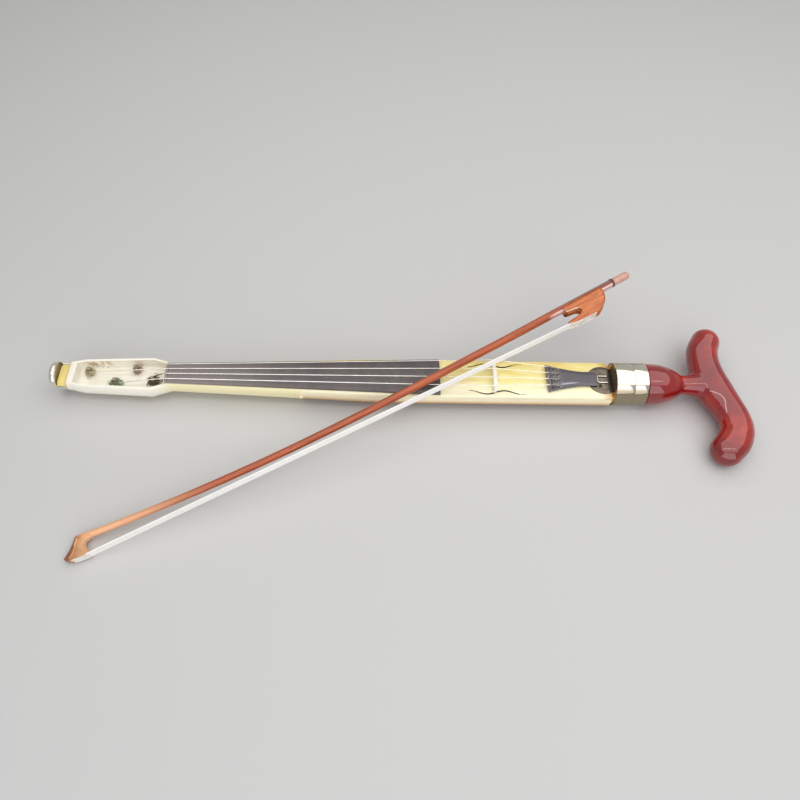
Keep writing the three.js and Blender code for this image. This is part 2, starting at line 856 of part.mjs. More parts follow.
/** The handle: a plug inside the collar, a rounded knob, a thin neck and the grip. */
function makeHandle() {
  const knobLaw = (t) => mix(neckRadius, knobRadius, Math.cos((t * Math.PI) / 2) ** knobPower);
  const plugRadius = collarRadius - sleeveWall - seatGap;
  const stem = [
    [splitStation + seatGap, plugRadius],
    [knobStart + seatGap, plugRadius],
    [knobStart + seatGap, knobRadius],
    ...span(knobStart + knobStraight, knobEnd, knobSteps, knobLaw),
    [neckStation, neckRadius],
    [neckStation + neckFlare / 2, neckRadius + neckSwell],
    [neckStation + neckFlare, stemRadius],
    [armStation, stemRadius],
  ];
  const bore = revolve([
    [splitStation - overrun, spigotRadius + seatGap],
    [splitStation + socketDepth, spigotRadius + seatGap],
  ], smallSides);
  return revolve(stem).add(makeGrip()).subtract(bore);
}

function makeHandleCollar() {
  const inner = collarRadius - sleeveWall;
  return tube(splitStation + seatGap, knobStart, collarRadius, inner);
}

function makeSpigot() {
  const start = splitStation - socketDepth + 2 * seatGap;
  const end = splitStation + socketDepth - seatGap;
  return revolve([[start, spigotRadius], [end, spigotRadius]], smallSides);
}

// Bow, built along its hair: X from the head to the button, Y from the hair to the stick

const bowLength = 576;
const stickRise = 24.5;
const stickShares = [
  [0.012, 0.745],
  [0.07, 0.622],
  [0.13, 0.53],
  [0.2, 0.448],
  [0.305, 0.385],
  [0.415, 0.395],
  [0.52, 0.462],
  [0.625, 0.555],
  [0.72, 0.653],
  [0.79, 0.733],
  [0.865, 0.832],
  [0.935, 0.914],
  [1, 1],
];
const stickTipRadius = 3.3;
const stickButtRadius = 4.3;
const stickSteps = 30;
const stickSides = 16;
const headThickness = 9;
const beakReach = 17.5;
const headRise = 23;
const tipPlateThickness = 1;
const tipPlateEndShare = 0.5;
const headFootShares = [
  [-1, 0.3],
  [-0.72, 0.144],
  [-0.25, 0.023],
  [0.2, -0.026],
];
const headThroatShares = [
  [0.22, 0.15],
  [0.08, 0.33],
  [0.04, 0.5],
  [0.14, 0.63],
];
const headCrownShares = [
  [-0.22, 1],
  [-0.5, 0.77],
  [-0.82, 0.45],
];

const stickLine = new THREE.CatmullRomCurve3(
  stickShares.map(([x, y]) => new THREE.Vector3(x * bowLength, y * stickRise, 0)),
  false,
  "chordal",
);

/** Height of the stick's middle above the hair at a station. */
function stickAt(station) {
  let [low, high] = [0, 1];
  for (let i = 0; i < 40; i += 1) {
    const middle = (low + high) / 2;
    if (stickLine.getPoint(middle).x < station) {
      low = middle;
    } else {
      high = middle;
    }
  }
  return stickLine.getPoint(low).y;
}

/** An outline in the bow's own plane, given a thickness across it. */
function bowPlate(outline, thickness) {
  return plate(outline, -thickness / 2, thickness / 2);
}

const buttLength = 17;
const frogLength = 50;
const frogThickness = 11;
const frogShares = [
  [0.03, 0.56],
  [0.03, 0.885],
  [1, 1],
  [0.99, 0.7],
  [0.95, 0.46],
  [0.86, 0.22],
  [0.72, 0.02],
  [0.6, -0.058],
  [0.08, -0.058],
  [0, 0.04],
  [0, 0.13],
  [0.17, 0.18],
  [0.29, 0.27],
  [0.335, 0.375],
  [0.31, 0.47],
  [0.24, 0.53],
];
const straightLength = 86;
const screwRadius = 1.2;
const screwBoreRadius = 1.7;
const slotHalfWidth = 2.3;
const slotLength = 28;
const eyeletRadius = 1.9;
const eyeletDepth = 8.7;
const eyeletCrown = 1.8;
const buttonLength = 20;
const buttonRadius = 4.4;
const buttonShares = [
  [0, 0.94],
  [0.06, 1],
  [0.12, 0.9],
  [0.89, 1],
  [0.967, 0.8],
  [1, 0.45],
];
const frogTravel = 6;

const frogEnd = bowLength - buttLength;
const frogStart = frogEnd - frogLength;
const eyeletStation = (frogStart + frogEnd) / 2;
const slotStart = eyeletStation - slotLength / 2;
const slotEnd = eyeletStation + slotLength / 2;
const straightRise = stickAt(bowLength) - stickAt(bowLength - straightLength);
const stickAngle = Math.atan2(straightRise, straightLength);

/** Height of the straight butt's axis at a station. */
function buttAxis(station) {
  return stickAt(bowLength) - (bowLength - station) * Math.tan(stickAngle);
}

/** A cylinder along the butt's axis between two stations. */
function alongButt(start, end, radius, sides = stickSides) {
  const rod = revolve([[start, radius], [end, radius]], sides);
  return layOnButt(rod);
}

/** Turn a solid built along X on to the butt's axis. */
function layOnButt(solid) {
  const geometry = geometryOf(solid);
  geometry.translate(-bowLength, 0, 0);
  geometry.rotateZ(stickAngle);
  geometry.translate(bowLength, stickAt(bowLength), 0);
  return solidOf(geometry);
}

/** Points of the head, from their shares of its reach and rise. */
function headPoints(shares) {
  return shares.map(([x, y]) => [x * beakReach, y * headRise]);
}

/** The hatchet head: a long beak that looks back under the end of the stick. */
function makeHead() {
  const stickStart = stickShares[0][0] * bowLength;
  const outline = [
    ...headPoints(headFootShares),
    ...headPoints(headThroatShares),
    [stickStart + stickTipRadius, stickAt(stickStart) - stickTipRadius],
    [stickStart + stickTipRadius, stickAt(stickStart) + stickTipRadius],
    ...headPoints(headCrownShares),
  ];
  return bowPlate(outline, headThickness);
}

function makeStick() {
  const sections = [];
  for (let i = 0; i <= stickSteps; i += 1) {
    const t = i / stickSteps;
    const at = stickLine.getPoint(t);
    const slope = stickLine.getTangent(t);
    const radius = mix(stickTipRadius, stickButtRadius, smooth(t));
    const rows = ring([0, 0, 0], radius, stickSides);
    sections.push(rows.map(([, y, z]) => [at.x - y * slope.y, at.y + y * slope.x, z]));
  }
  const shaft = solidOf(loft(sections)).add(makeHead());
  const slot = block([slotStart, slotEnd], [0, stickRise], [-slotHalfWidth, slotHalfWidth]);
  const bore = alongButt(slotStart - overrun, bowLength + overrun, screwBoreRadius);
  return shaft.subtract(slot).subtract(bore);
}

/** The plate under the head, which stops short of the hair. */
function makeTipPlate() {
  const [beak, rise, heel, end] = headPoints(headFootShares);
  const last = [mix(heel[0], end[0], tipPlateEndShare), mix(heel[1], end[1], tipPlateEndShare)];
  const top = [beak, rise, heel, last].map(([x, y]) => [x, y - seatGap]);
  const foot = top.map(([x, y]) => [x, y - tipPlateThickness]).reverse();
  return bowPlate([...top, ...foot], headThickness - 2 * seatGap);
}

/** The frog: its outline, grooved for the stick and drilled for the eyelet. */
function makeFrog() {
  const height = buttAxis(frogEnd);
  const outline = frogShares.map(([x, y]) => [frogStart + x * frogLength, y * height]).reverse();
  const groove = alongButt(frogStart - frogLength, bowLength, stickButtRadius + seatGap);
  return bowPlate(outline, frogThickness).subtract(groove).subtract(eyeletPost(seatGap));
}

/** An upright cylinder at the eyelet's place, from inside the frog to past the screw. */
function eyeletPost(gap) {
  const radius = eyeletRadius + gap;
  const length = 2 * (eyeletDepth + gap);
  const geometry = new THREE.CylinderGeometry(radius, radius, length, smallSides);
  geometry.translate(eyeletStation, buttAxis(eyeletStation) + eyeletCrown - eyeletDepth, 0);
  return solidOf(geometry);
}

function makeEyelet() {
  const start = eyeletStation - frogTravel;
  const end = eyeletStation + frogTravel;
  return eyeletPost(0).subtract(alongButt(start, end, screwRadius + runningGap));
}

const hairThickness = 1;
const hairWidth = 8.6;
const hairStart = 5.2;

function makeHair() {
  const half = hairThickness / 2;
  const end = frogStart - seatGap;
  return bowPlate([[hairStart, -half], [end, -half], [end, half], [hairStart, half]], hairWidth);
}

function makeButton() {
  const start = bowLength + seatGap;
  const end = bowLength + buttonLength;
  const profile = buttonShares.map(([x, r]) => [mix(start, end, x), r * buttonRadius]);
  const bore = screwRadius + seatGap;
  const socket = revolve([[start - overrun, bore], [start + overrun, bore]], smallSides);
  return layOnButt(revolve(profile, stickSides).subtract(socket));
}

function makeScrew() {
  return alongButt(slotStart - overrun + seatGap, bowLength + overrun, screwRadius);
}

// Assembly

const violin = new THREE.Group();
violin.add(
  piece("end_ring", makeEndRing(), nickel),
  piece("neck_and_peg_box", makeNeck(), maple),
  piece("body_shell", makeBodyShell(), maple),
  piece("soundboard", makeSoundboard(), spruce),
  piece("bass_bar", makeBassBar(), spruce),
  piece("sound_post", makeSoundPost(), spruce),
  piece("tail_block", makeTailBlock(), maple),
  piece("joint_stud_far", makeStud(1), maple),
  piece("joint_stud_near", makeStud(-1), maple),
  piece("handle_socket", makeSocket(), brass),
  piece("body_collar", makeBodyCollar(), nickel),
  piece("fingerboard", makeFingerboard(), ebony),
  piece("nut", makeNut(), bone),
  piece("bridge", makeBridge(), paleMaple),
  piece("tailpiece", makeTailpiece(), ebony),
  piece("tail_saddle", makeTailSaddle(), ebony),
  piece("tail_plate", makeTailPlate(), darkSteel),
  piece("tail_loop", makeTailLoop(), steel),
  piece("tail_screw", makeTailScrew(), steel),
);
for (let i = 0; i < stringNames.length; i += 1) {
  violin.add(makeString(i), makePin(i), makeCoil(i));
}

const handle = new THREE.Group();
handle.add(
  piece("handle_grip", makeHandle(), lacquer),
  piece("handle_collar", makeHandleCollar(), nickel),
  piece("handle_spigot", makeSpigot(), brass),
);
handle.rotation.x = THREE.MathUtils.degToRad(handleTilt);
violin.add(handle);
violin.position.z = axisHeight;

const bow = new THREE.Group();
bow.add(
  piece("bow_stick", makeStick(), bowWood),
  piece("bow_tip_plate", makeTipPlate(), ivory),
  piece("bow_frog", makeFrog(), bowWood),
  piece("bow_eyelet", makeEyelet(), brass),
  piece("bow_hair", makeHair(), horsehair),
  piece("bow_button", makeButton(), buttonWood),
  piece("bow_screw", makeScrew(), steel),
);

const bowTurn = 26.6;
const bowHeadStation = 73.8;
const bowHeadReach = 180.4;
const steepestTilt = 30;
const tiltHalvings = 24;

/** Where the bow lies at a tilt, with its beak on the table and the table at Z = 0. */
function bowPlace(degrees) {
  const tilt = THREE.MathUtils.degToRad(degrees);
  const turn = new THREE.Euler(0, -tilt, THREE.MathUtils.degToRad(bowTurn), "ZYX");
  const drop = (headThickness / 2) * Math.cos(tilt) + beakReach * Math.sin(tilt);
  const place = new THREE.Matrix4().makeRotationFromEuler(turn);
  return place.setPosition(bowHeadStation, -bowHeadReach, drop);
}

/** The tilt that leaves the stick and the hair just clear of the violin they lie on. */
function restingTilt() {
  const laid = [makeStick(), makeHair()];
  const carriers = ["fingerboard", "string_1", "string_2", "string_3", "string_4"].map((name) => {
    const { geometry } = violin.getObjectByName(name);
    return solidOf(geometry).translate(0, 0, axisHeight);
  });
  let [low, high] = [0, steepestTilt];
  for (let i = 0; i < tiltHalvings; i += 1) {
    const middle = (low + high) / 2;
    const { elements } = bowPlace(middle);
    const tooNear = laid.some((solid) => carriers.some((carrier) => (
      solid.transform(elements).minGap(carrier, 2 * bowClearance) < bowClearance
    )));
    [low, high] = tooNear ? [middle, high] : [low, middle];
  }
  return high;
}

bow.applyMatrix4(bowPlace(restingTilt()));

// The whole object stands on Z = 0 with its bounding box centred on the origin
const object = new THREE.Group();
object.add(violin, bow);
const bounds = new THREE.Box3().setFromObject(object, true);
const centre = bounds.getCenter(new THREE.Vector3());
object.position.set(-centre.x, -centre.y, -bounds.min.z);

export default object;
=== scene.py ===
"""The looks of a cane violin and its bow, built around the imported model.

Pieces are modelled in millimetres, in the frame of the stick, of the handle or of the bow, and
are then laid into the row frame in metres.
"""

import logging
import math
import random
from collections.abc import Callable, Iterable, Sequence
from dataclasses import dataclass, field
from enum import Enum

import bmesh
import bpy
from mathutils import Matrix, Vector


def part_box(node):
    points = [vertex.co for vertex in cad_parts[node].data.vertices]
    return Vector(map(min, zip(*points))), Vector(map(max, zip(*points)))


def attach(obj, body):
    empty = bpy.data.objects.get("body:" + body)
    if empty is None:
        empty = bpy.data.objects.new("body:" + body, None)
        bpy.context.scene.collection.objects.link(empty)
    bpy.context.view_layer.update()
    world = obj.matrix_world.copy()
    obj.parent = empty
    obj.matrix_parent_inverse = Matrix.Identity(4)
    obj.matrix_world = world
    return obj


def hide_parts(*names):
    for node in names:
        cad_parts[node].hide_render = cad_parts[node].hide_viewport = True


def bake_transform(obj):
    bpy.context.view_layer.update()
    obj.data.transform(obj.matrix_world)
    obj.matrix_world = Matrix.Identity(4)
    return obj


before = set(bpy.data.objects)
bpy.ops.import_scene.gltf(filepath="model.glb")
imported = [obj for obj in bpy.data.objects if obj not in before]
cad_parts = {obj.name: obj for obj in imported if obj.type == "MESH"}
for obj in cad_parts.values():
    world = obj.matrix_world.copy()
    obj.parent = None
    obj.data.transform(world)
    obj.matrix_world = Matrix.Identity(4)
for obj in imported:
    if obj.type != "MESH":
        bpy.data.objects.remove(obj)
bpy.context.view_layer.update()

log = logging.getLogger("cane_violin")

MM = 0.001
MARK = "mark"
SEAM = 1e-4
MERGE = 1e-6
SLIVER = 2e-5
FLAT_ANGLE = 0.6
Colour = tuple[float, float, float, float]
Point = tuple[float, float, float]
Pair = tuple[float, float]


def tint(red: int, green: int, blue: int) -> Colour:
    """A colour from its screen values, 0 to 255, as linear light.

    Args:
        red: the red value on screen.
        green: the green value.
        blue: the blue value.

    Returns:
        The linear colour, opaque.
    """

    def linear(value: int) -> float:
        """One channel as linear light."""
        share = value / 255
        return share / 12.92 if share <= 0.04045 else ((share + 0.055) / 1.055) ** 2.4

    return (linear(red), linear(green), linear(blue), 1.0)


def mix(a: float, b: float, share: float) -> float:
    """The value a share of the way from a to b."""
    return a + (b - a) * share


def ease(share: float) -> float:
    """A share from 0 to 1 that starts and ends gently."""
    share = min(max(share, 0.0), 1.0)
    return share * share * (3 - 2 * share)


class Body(Enum):
    """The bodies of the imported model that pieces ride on."""

    VIOLIN = "violin"
    HANDLE = "handle"
    BOW = "bow"
    FROG = "frog"
    ADJUSTER = "bow_adjuster"
    PIN_1 = "pin_1"
    PIN_2 = "pin_2"
    PIN_3 = "pin_3"
    PIN_4 = "pin_4"


class Axis(Enum):
    """An axis of the row frame that a stain follows."""

    X = "X"
    Y = "Y"
    Z = "Z"


PINS = (Body.PIN_1, Body.PIN_2, Body.PIN_3, Body.PIN_4)


@dataclass(frozen=True)
class Places:
    """Where the stick, the handle and the bow lie, in millimetres and degrees."""

    collar_middle: float = 578.75
    handle_tilt: float = 6.2
    bow_turn: float = 26.6
    bow_tilt: float = 6.19103
    head_station: float = 73.8
    head_reach: float = 180.4
    head_rise: float = 6.361

    def violin(self) -> Matrix:
        """The stick's frame: stations along X, zero at the stick's axis.

        Returns:
            The matrix from millimetres to the row frame.
        """
        low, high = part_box("body_collar")
        middle = (low + high) / 2
        origin = Vector((middle.x - self.collar_middle * MM, middle.y, middle.z))
        return Matrix.Translation(origin) @ Matrix.Scale(MM, 4)

    def handle(self) -> Matrix:
        """The stick's frame, turned about its axis as the handle is."""
        return self.violin() @ Matrix.Rotation(math.radians(self.handle_tilt), 4, "X")

    def bow(self) -> Matrix:
        """The bow's frame: X along the hair from the head, Y from the hair to the stick.

        Returns:
            The matrix from millimetres to the row frame.
        """
        low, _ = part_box("body_shell")
        at = self.violin() @ Vector((self.head_station, -self.head_reach, 0))
        at.z = low.z + self.head_rise * MM
        turn = Matrix.Rotation(math.radians(self.bow_turn), 4, "Z")
        tilt = Matrix.Rotation(-math.radians(self.bow_tilt), 4, "Y")
        return Matrix.Translation(at) @ turn @ tilt @ Matrix.Scale(MM, 4)


PLACES = Places()


class Recipe:
    """A node material under way, with a short call for each node that the finishes use."""

    def __init__(self, name: str) -> None:
        """Start an empty material around one Principled shader.

        Args:
            name: the material's name.
        """
        self.material = bpy.data.materials.new(name)
        self.material.use_nodes = True
        self.tree = self.material.node_tree
        self.shader = next(n for n in self.tree.nodes if n.type == "BSDF_PRINCIPLED")

    def node(self, kind: str, **settings: object) -> bpy.types.Node:
        """Add a node and give it its settings.

        Args:
            kind: the node's type.
            settings: its properties by name.

        Returns:
            The new node.
        """
        made = self.tree.nodes.new(kind)
        for name, value in settings.items():
            setattr(made, name, value)
        return made

    def feed(self, socket: bpy.types.NodeSocket, value: object) -> None:
        """Link an output to a socket, or set the socket's own value.

        Args:
            socket: the input.
            value: an output to link, or a value to set.
        """
        if isinstance(value, bpy.types.NodeSocket):
            self.tree.links.new(value, socket)
        else:
            socket.default_value = value

    def set(self, **values: float | Colour) -> None:
        """Set the shader's own sockets; an underscore stands for a space in a name."""
        for name, value in values.items():
            self.shader.inputs[name.replace("_", " ")].default_value = value

    def shade(self, socket: str, value: bpy.types.NodeSocket) -> None:
        """Link an output to one of the shader's sockets."""
        self.tree.links.new(value, self.shader.inputs[socket])

    def space(self, size: Point, centre: Vector, turn: Point = (0, 0, 0)) -> bpy.types.NodeSocket:
        """Object coordinates about a centre, turned, and counted in features of a size.

        Args:
            size: the feature's length along each axis, in metres.
            centre: the pattern's centre in the row frame.
            turn: the pattern's turn about X, Y and Z, in radians.

        Returns:
            The vector output.
        """
        coordinates = self.node("ShaderNodeTexCoord")
        mapping = self.node("ShaderNodeMapping", vector_type="TEXTURE")
        self.feed(mapping.inputs["Vector"], coordinates.outputs["Object"])
        mapping.inputs["Location"].default_value = centre
        mapping.inputs["Rotation"].default_value = turn
        mapping.inputs["Scale"].default_value = size
        return mapping.outputs["Vector"]

    def noise(
        self,
        vector: bpy.types.NodeSocket,
        scale: float = 1.0,
        detail: float = 3.0,
        roughness: float = 0.55,
        distortion: float = 0.0,
    ) -> bpy.types.NodeSocket:
        """Fractal noise from 0 to 1.

        Args:
            vector: the coordinates.
            scale: how many features a unit holds.
            detail: how many octaves it has.
            roughness: how strong the finer octaves are.
            distortion: how far it is swirled.

        Returns:
            The noise's value.
        """
        noise = self.node("ShaderNodeTexNoise")
        self.feed(noise.inputs["Vector"], vector)
        noise.inputs["Scale"].default_value = scale
        noise.inputs["Detail"].default_value = detail
        noise.inputs["Roughness"].default_value = roughness
        noise.inputs["Distortion"].default_value = distortion
        return noise.outputs[0]

    def ramp(
        self, factor: bpy.types.NodeSocket, stops: Sequence[tuple[float, Colour]]
    ) -> bpy.types.NodeSocket:
        """Colours along a factor.

        Args:
            factor: the value that picks the colour.
            stops: pairs of position and colour.

        Returns:
            The colour output.
        """
        ramp = self.node("ShaderNodeValToRGB")
        self.feed(ramp.inputs[0], factor)
        elements = ramp.color_ramp.elements
        while len(elements) < len(stops):
            elements.new(0.5)
        for element, (position, colour) in zip(elements, stops):
            element.position = position
            element.color = colour
        return ramp.outputs[0]

    def span(
        self, value: bpy.types.NodeSocket, start: float, end: float, low: float, high: float
    ) -> bpy.types.NodeSocket:
        """A value moved smoothly from one range to another.

        Args:
            value: the value.
            start: where the first range starts.
            end: where it ends.
            low: what the start becomes.
            high: what the end becomes.

        Returns:
            The moved value.
        """
        ranged = self.node("ShaderNodeMapRange", interpolation_type="SMOOTHSTEP")
        self.feed(ranged.inputs["Value"], value)
        names = ("From Min", "From Max", "To Min", "To Max")
        for name, number in zip(names, (start, end, low, high)):
            ranged.inputs[name].default_value = number
        return ranged.outputs[0]

    def sum(self, kind: str, a: object, b: object) -> bpy.types.NodeSocket:
        """One sum of two values.

        Args:
            kind: the operation.
            a: the first value.
            b: the second value.

        Returns:
            The result.
        """
        node = self.node("ShaderNodeMath", operation=kind)
        self.feed(node.inputs[0], a)
        self.feed(node.inputs[1], b)
        return node.outputs[0]

    def blend(
        self, factor: object, a: object, b: object, mode: str = "MIX"
    ) -> bpy.types.NodeSocket:
        """Two colours mixed by a factor.

        Args:
            factor: the share of the second colour.
            a: the first colour.
            b: the second colour.
            mode: how the two are mixed.

        Returns:
            The mixed colour.
        """
        node = self.node("ShaderNodeMix", data_type="RGBA", blend_type=mode)
        self.feed(node.inputs[0], factor)
        self.feed(node.inputs[6], a)
        self.feed(node.inputs[7], b)
        return node.outputs[2]

    def along(self, axis: Axis) -> bpy.types.NodeSocket:
        """A coordinate of the object, in metres.

        Args:
            axis: the axis.

        Returns:
            The coordinate.
        """
        coordinates = self.node("ShaderNodeTexCoord")
        split = self.node("ShaderNodeSeparateXYZ")
        self.feed(split.inputs[0], coordinates.outputs["Object"])
        return split.outputs[axis.value]

    def mark(self) -> bpy.types.NodeSocket:
        """The share that a piece's own points give to its marked places, and zero elsewhere."""
        attribute = self.node("ShaderNodeAttribute", attribute_name=MARK)
        return attribute.outputs["Fac"]

    def stained_and_shaded(
        self, colour: bpy.types.NodeSocket, stains_and_shade: Sequence["Stain"], cloud: bpy.types.NodeSocket
    ) -> bpy.types.NodeSocket:
        """A colour under its tints along axes, some its real tone and some painted shade, whose
        edges wander with a cloudy pattern.

        Args:
            colour: the bare colour.
            stains_and_shade: the tints, real tone and painted shade, from the first laid to the
                last.
            cloud: the pattern that moves their edges.

        Returns:
            The stained colour.
        """
        for stain_and_shade in stains_and_shade:
            edge = self.sum("MULTIPLY", cloud, stain_and_shade.wander)
            reach = self.sum("ADD", self.along(stain_and_shade.axis), edge)
            share = self.span(reach, stain_and_shade.start, stain_and_shade.end, 0.0, stain_and_shade.strength)
            colour = self.blend(share, colour, stain_and_shade.colour)
        return colour

    def relief(self, height: bpy.types.NodeSocket, depth: float, strength: float = 1.0) -> None:
        """Bump the surface by a height of a real depth, in metres.

        Args:
            height: the height, from 0 to 1.
            depth: the depth of a full height.
            strength: how much of it shows.
        """
        bump = self.node("ShaderNodeBump")
        bump.inputs["Strength"].default_value = strength
        bump.inputs["Distance"].default_value = depth
        self.feed(bump.inputs["Height"], height)
        self.shade("Normal", bump.outputs[0])


@dataclass(frozen=True)
class Stain:
    """A colour that takes over along an axis, between two places in metres: real tone on some
    pieces, painted shade and highlight on others.
    """

    axis: Axis
    start: float
    end: float
    colour: Colour
    strength: float = 0.8
    wander: float = 0.004


@dataclass(frozen=True)
class Wood:
    """A varnished wood with fibres, broad figure and pores."""

    name: str
    pale: Colour
    middle: Colour
    deep: Colour
    fibre: Point = (0.04, 0.0009, 0.0009)
    figure: Point = (0.012, 0.05, 0.05)
    figure_strength: float = 0.25
    cloud: float = 0.06
    roughness: float = 0.42
    coat: float = 0.35
    coat_roughness: float = 0.12
    relief: float = 0.00006
    turn: Point = (0.0, 0.0, 0.0)
    centre: Point = (0.0, 0.0, 0.0)
    stains_and_shade: tuple[Stain, ...] = ()
    marked: Colour | None = None
    patch: Colour | None = None
    patch_size: Point = (0.05, 0.016, 0.03)
    marked_within: tuple[tuple[Axis, float, float], ...] = ()
    mottle: float = 0.0
    speck: Colour | None = None
    speck_reach: Pair = (0.0, 0.0)
    gloss: float = 0.4

    def make(self) -> bpy.types.Material:
        """Build the material: fibres, then figure, then cloudy colour, then the tints along axes,
        which include painted shade.

        Returns:
            The material.
        """
        recipe = Recipe(self.name)
        centre = Vector(self.centre)
        fibre = recipe.noise(recipe.space(self.fibre, centre, self.turn), 1.0, 4.0, 0.6, 0.3)
        figure = recipe.noise(recipe.space(self.figure, centre, self.turn), 1.0, 2.0, 0.5, 0.8)
        broad = (self.cloud,) * 3
        cloud = recipe.noise(recipe.space(broad, centre, self.turn), 1.0, 3.0, 0.55, 0.4)
        stops = ((0.28, self.deep), (0.5, self.middle), (0.72, self.pale))
        colour = recipe.ramp(fibre, stops)
        warm = recipe.span(cloud, 0.35, 0.68, 0.0, 0.5)
        colour = recipe.blend(warm, colour, self.middle)
        band = recipe.span(figure, 0.4, 0.62, 0.0, self.figure_strength)
        colour = recipe.blend(band, colour, self.deep)
        if self.patch:
            where = recipe.space(self.patch_size, centre, self.turn)
            patches = recipe.span(recipe.noise(where, 1.0, 3.0, 0.6, 0.5), 0.47, 0.7, 0.0, 0.75)
            colour = recipe.blend(patches, colour, self.patch)
        colour = recipe.stained_and_shaded(colour, self.stains_and_shade, cloud)
        # The marked colour is painted light wherever it is used: a painted highlight on the
        # tailpiece's ridge, the butt's facets and the frog's edge, and painted shade on the head's
        # front, the pegs' trough and the sound slots.
        if self.marked:
            uneven = recipe.span(fibre, 0.25, 0.6, 0.7, 1.0)
            if self.mottle:
                spots = recipe.noise(recipe.space((self.mottle,) * 3, centre), 1.0, 3.0, 0.6, 0.6)
                uneven = recipe.span(spots, 0.44, 0.6, 0.0, 1.0)
            for axis, start, end in self.marked_within:
                within = recipe.span(recipe.along(axis), start, end, 0.0, 1.0)
                uneven = recipe.sum("MULTIPLY", within, uneven)
            share = recipe.sum("MULTIPLY", recipe.mark(), uneven)
            colour = recipe.blend(share, colour, self.marked)
        if self.speck:
            dots = recipe.noise(recipe.space((0.0011,) * 3, centre), 1.0, 2.0, 0.6, 0.8)
            place = recipe.span(recipe.along(Axis.X), *self.speck_reach, 0.0, 0.75)
            share = recipe.sum("MULTIPLY", recipe.span(dots, 0.53, 0.64, 0.0, 1.0), place)
            colour = recipe.blend(share, colour, self.speck)
        recipe.shade("Base Color", colour)
        rough = recipe.span(fibre, 0.2, 0.8, self.roughness - 0.06, self.roughness + 0.08)
        recipe.shade("Roughness", rough)
        recipe.set(Coat_Weight=self.coat, Coat_Roughness=self.coat_roughness)
        recipe.set(Specular_IOR_Level=self.gloss)
        recipe.relief(fibre, self.relief)
        return recipe.material


@dataclass(frozen=True)
class Metal:
    """A worked metal: fine scratches, cloudy tarnish and a real colour."""

    name: str
    bright: Colour
    dull: Colour
    roughness: float = 0.25
    scratch: Point = (0.0004, 0.02, 0.02)
    cloud: float = 0.012
    tarnish: float = 0.5
    relief: float = 0.0000015
    stains_and_shade: tuple[Stain, ...] = ()

    def make(self) -> bpy.types.Material:
        """Build the material from scratches and tarnish, then the tints along axes, which on the
        nickel are painted shade.

        Returns:
            The material.
        """
        recipe = Recipe(self.name)
        centre = Vector((0.0, 0.0, 0.0))
        scratch = recipe.noise(recipe.space(self.scratch, centre), 1.0, 3.0, 0.6)
        cloud = recipe.noise(recipe.space((self.cloud,) * 3, centre), 1.0, 4.0, 0.6, 0.5)
        share = recipe.span(cloud, 0.42, 0.72, 0.0, self.tarnish)
        colour = recipe.blend(share, self.bright, self.dull)
        fine = recipe.span(scratch, 0.3, 0.7, 0.0, 0.12)
        colour = recipe.stained_and_shaded(recipe.blend(fine, colour, self.dull), self.stains_and_shade, cloud)
        recipe.shade("Base Color", colour)
        rough = recipe.span(cloud, 0.35, 0.75, self.roughness - 0.03, self.roughness + 0.1)
        recipe.shade("Roughness", rough)
        recipe.set(Metallic=1.0)
        recipe.relief(scratch, self.relief)
        return recipe.material


@dataclass(frozen=True)
class Lacquer:
    """A deep coloured lacquer over close-grained wood."""

    name: str
    deep: Colour
    middle: Colour
    warm: Colour
    grain: Point = (0.002, 0.02, 0.002)
    cloud: float = 0.05
    coat_bend: float = 1.7

    def make(self) -> bpy.types.Material:
        """Build the material: clouded colour under a hard clear coat.

        Returns:
            The material.
        """
        recipe = Recipe(self.name)
        centre = Vector((0.32, 0.03, 0.02))
        grain = recipe.noise(recipe.space(self.grain, centre), 1.0, 4.0, 0.6, 0.6)
        cloud = recipe.noise(recipe.space((self.cloud,) * 3, centre), 1.0, 3.0, 0.5, 0.6)
        colour = recipe.ramp(cloud, ((0.3, self.deep), (0.52, self.middle), (0.75, self.warm)))
        vein = recipe.span(grain, 0.45, 0.7, 0.0, 0.25)
        recipe.shade("Base Color", recipe.blend(vein, colour, self.deep))
        recipe.shade("Roughness", recipe.span(grain, 0.3, 0.7, 0.3, 0.42))
        recipe.set(Coat_Weight=1.0, Coat_Roughness=0.02, Coat_IOR=self.coat_bend)
        recipe.set(Specular_IOR_Level=0.1)
        return recipe.material


@dataclass(frozen=True)
class Strand:
    """Fine strands: bow hair or silk, streaked along their length."""

    name: str
    pale: Colour
    deep: Colour
    streak: Point = (0.03, 0.0004, 0.0004)
    roughness: float = 0.55
    sheen: float = 0.25
    relief: float = 0.00003
    turn: Point = (0.0, 0.0, 0.0)

    def make(self) -> bpy.types.Material:
        """Build the material from streaks.

        Returns:
            The material.
        """
        recipe = Recipe(self.name)
        streak = recipe.noise(recipe.space(self.streak, Vector(), self.turn), 1.0, 3.0, 0.6)
        recipe.shade("Base Color", recipe.ramp(streak, ((0.3, self.deep), (0.62, self.pale))))
        rough = recipe.span(streak, 0.2, 0.8, self.roughness, self.roughness + 0.15)
        recipe.shade("Roughness", rough)
        recipe.set(Sheen_Weight=self.sheen, Sheen_Roughness=0.4)
        recipe.relief(streak, self.relief)
        return recipe.material


@dataclass(frozen=True)
class Floor:
    """The plain pale floor of the studio."""

    name: str = "pale_floor"
    colour: Colour = (0.63, 0.63, 0.62, 1.0)

    def make(self) -> bpy.types.Material:
        """Build a soft, very slightly mottled floor.

        Returns:
            The material.
        """
        recipe = Recipe(self.name)
        soft = recipe.noise(recipe.space((0.4, 0.4, 0.4), Vector()), 1.0, 2.0, 0.5)
        darker = tuple(c * 0.98 for c in self.colour[:3]) + (1.0,)
        recipe.shade("Base Color", recipe.blend(soft, self.colour, darker))
        recipe.set(Roughness=0.85, Specular_IOR_Level=0.1)
        return recipe.material


BOW_TURN = (0.0, -math.radians(PLACES.bow_tilt), math.radians(PLACES.bow_turn))


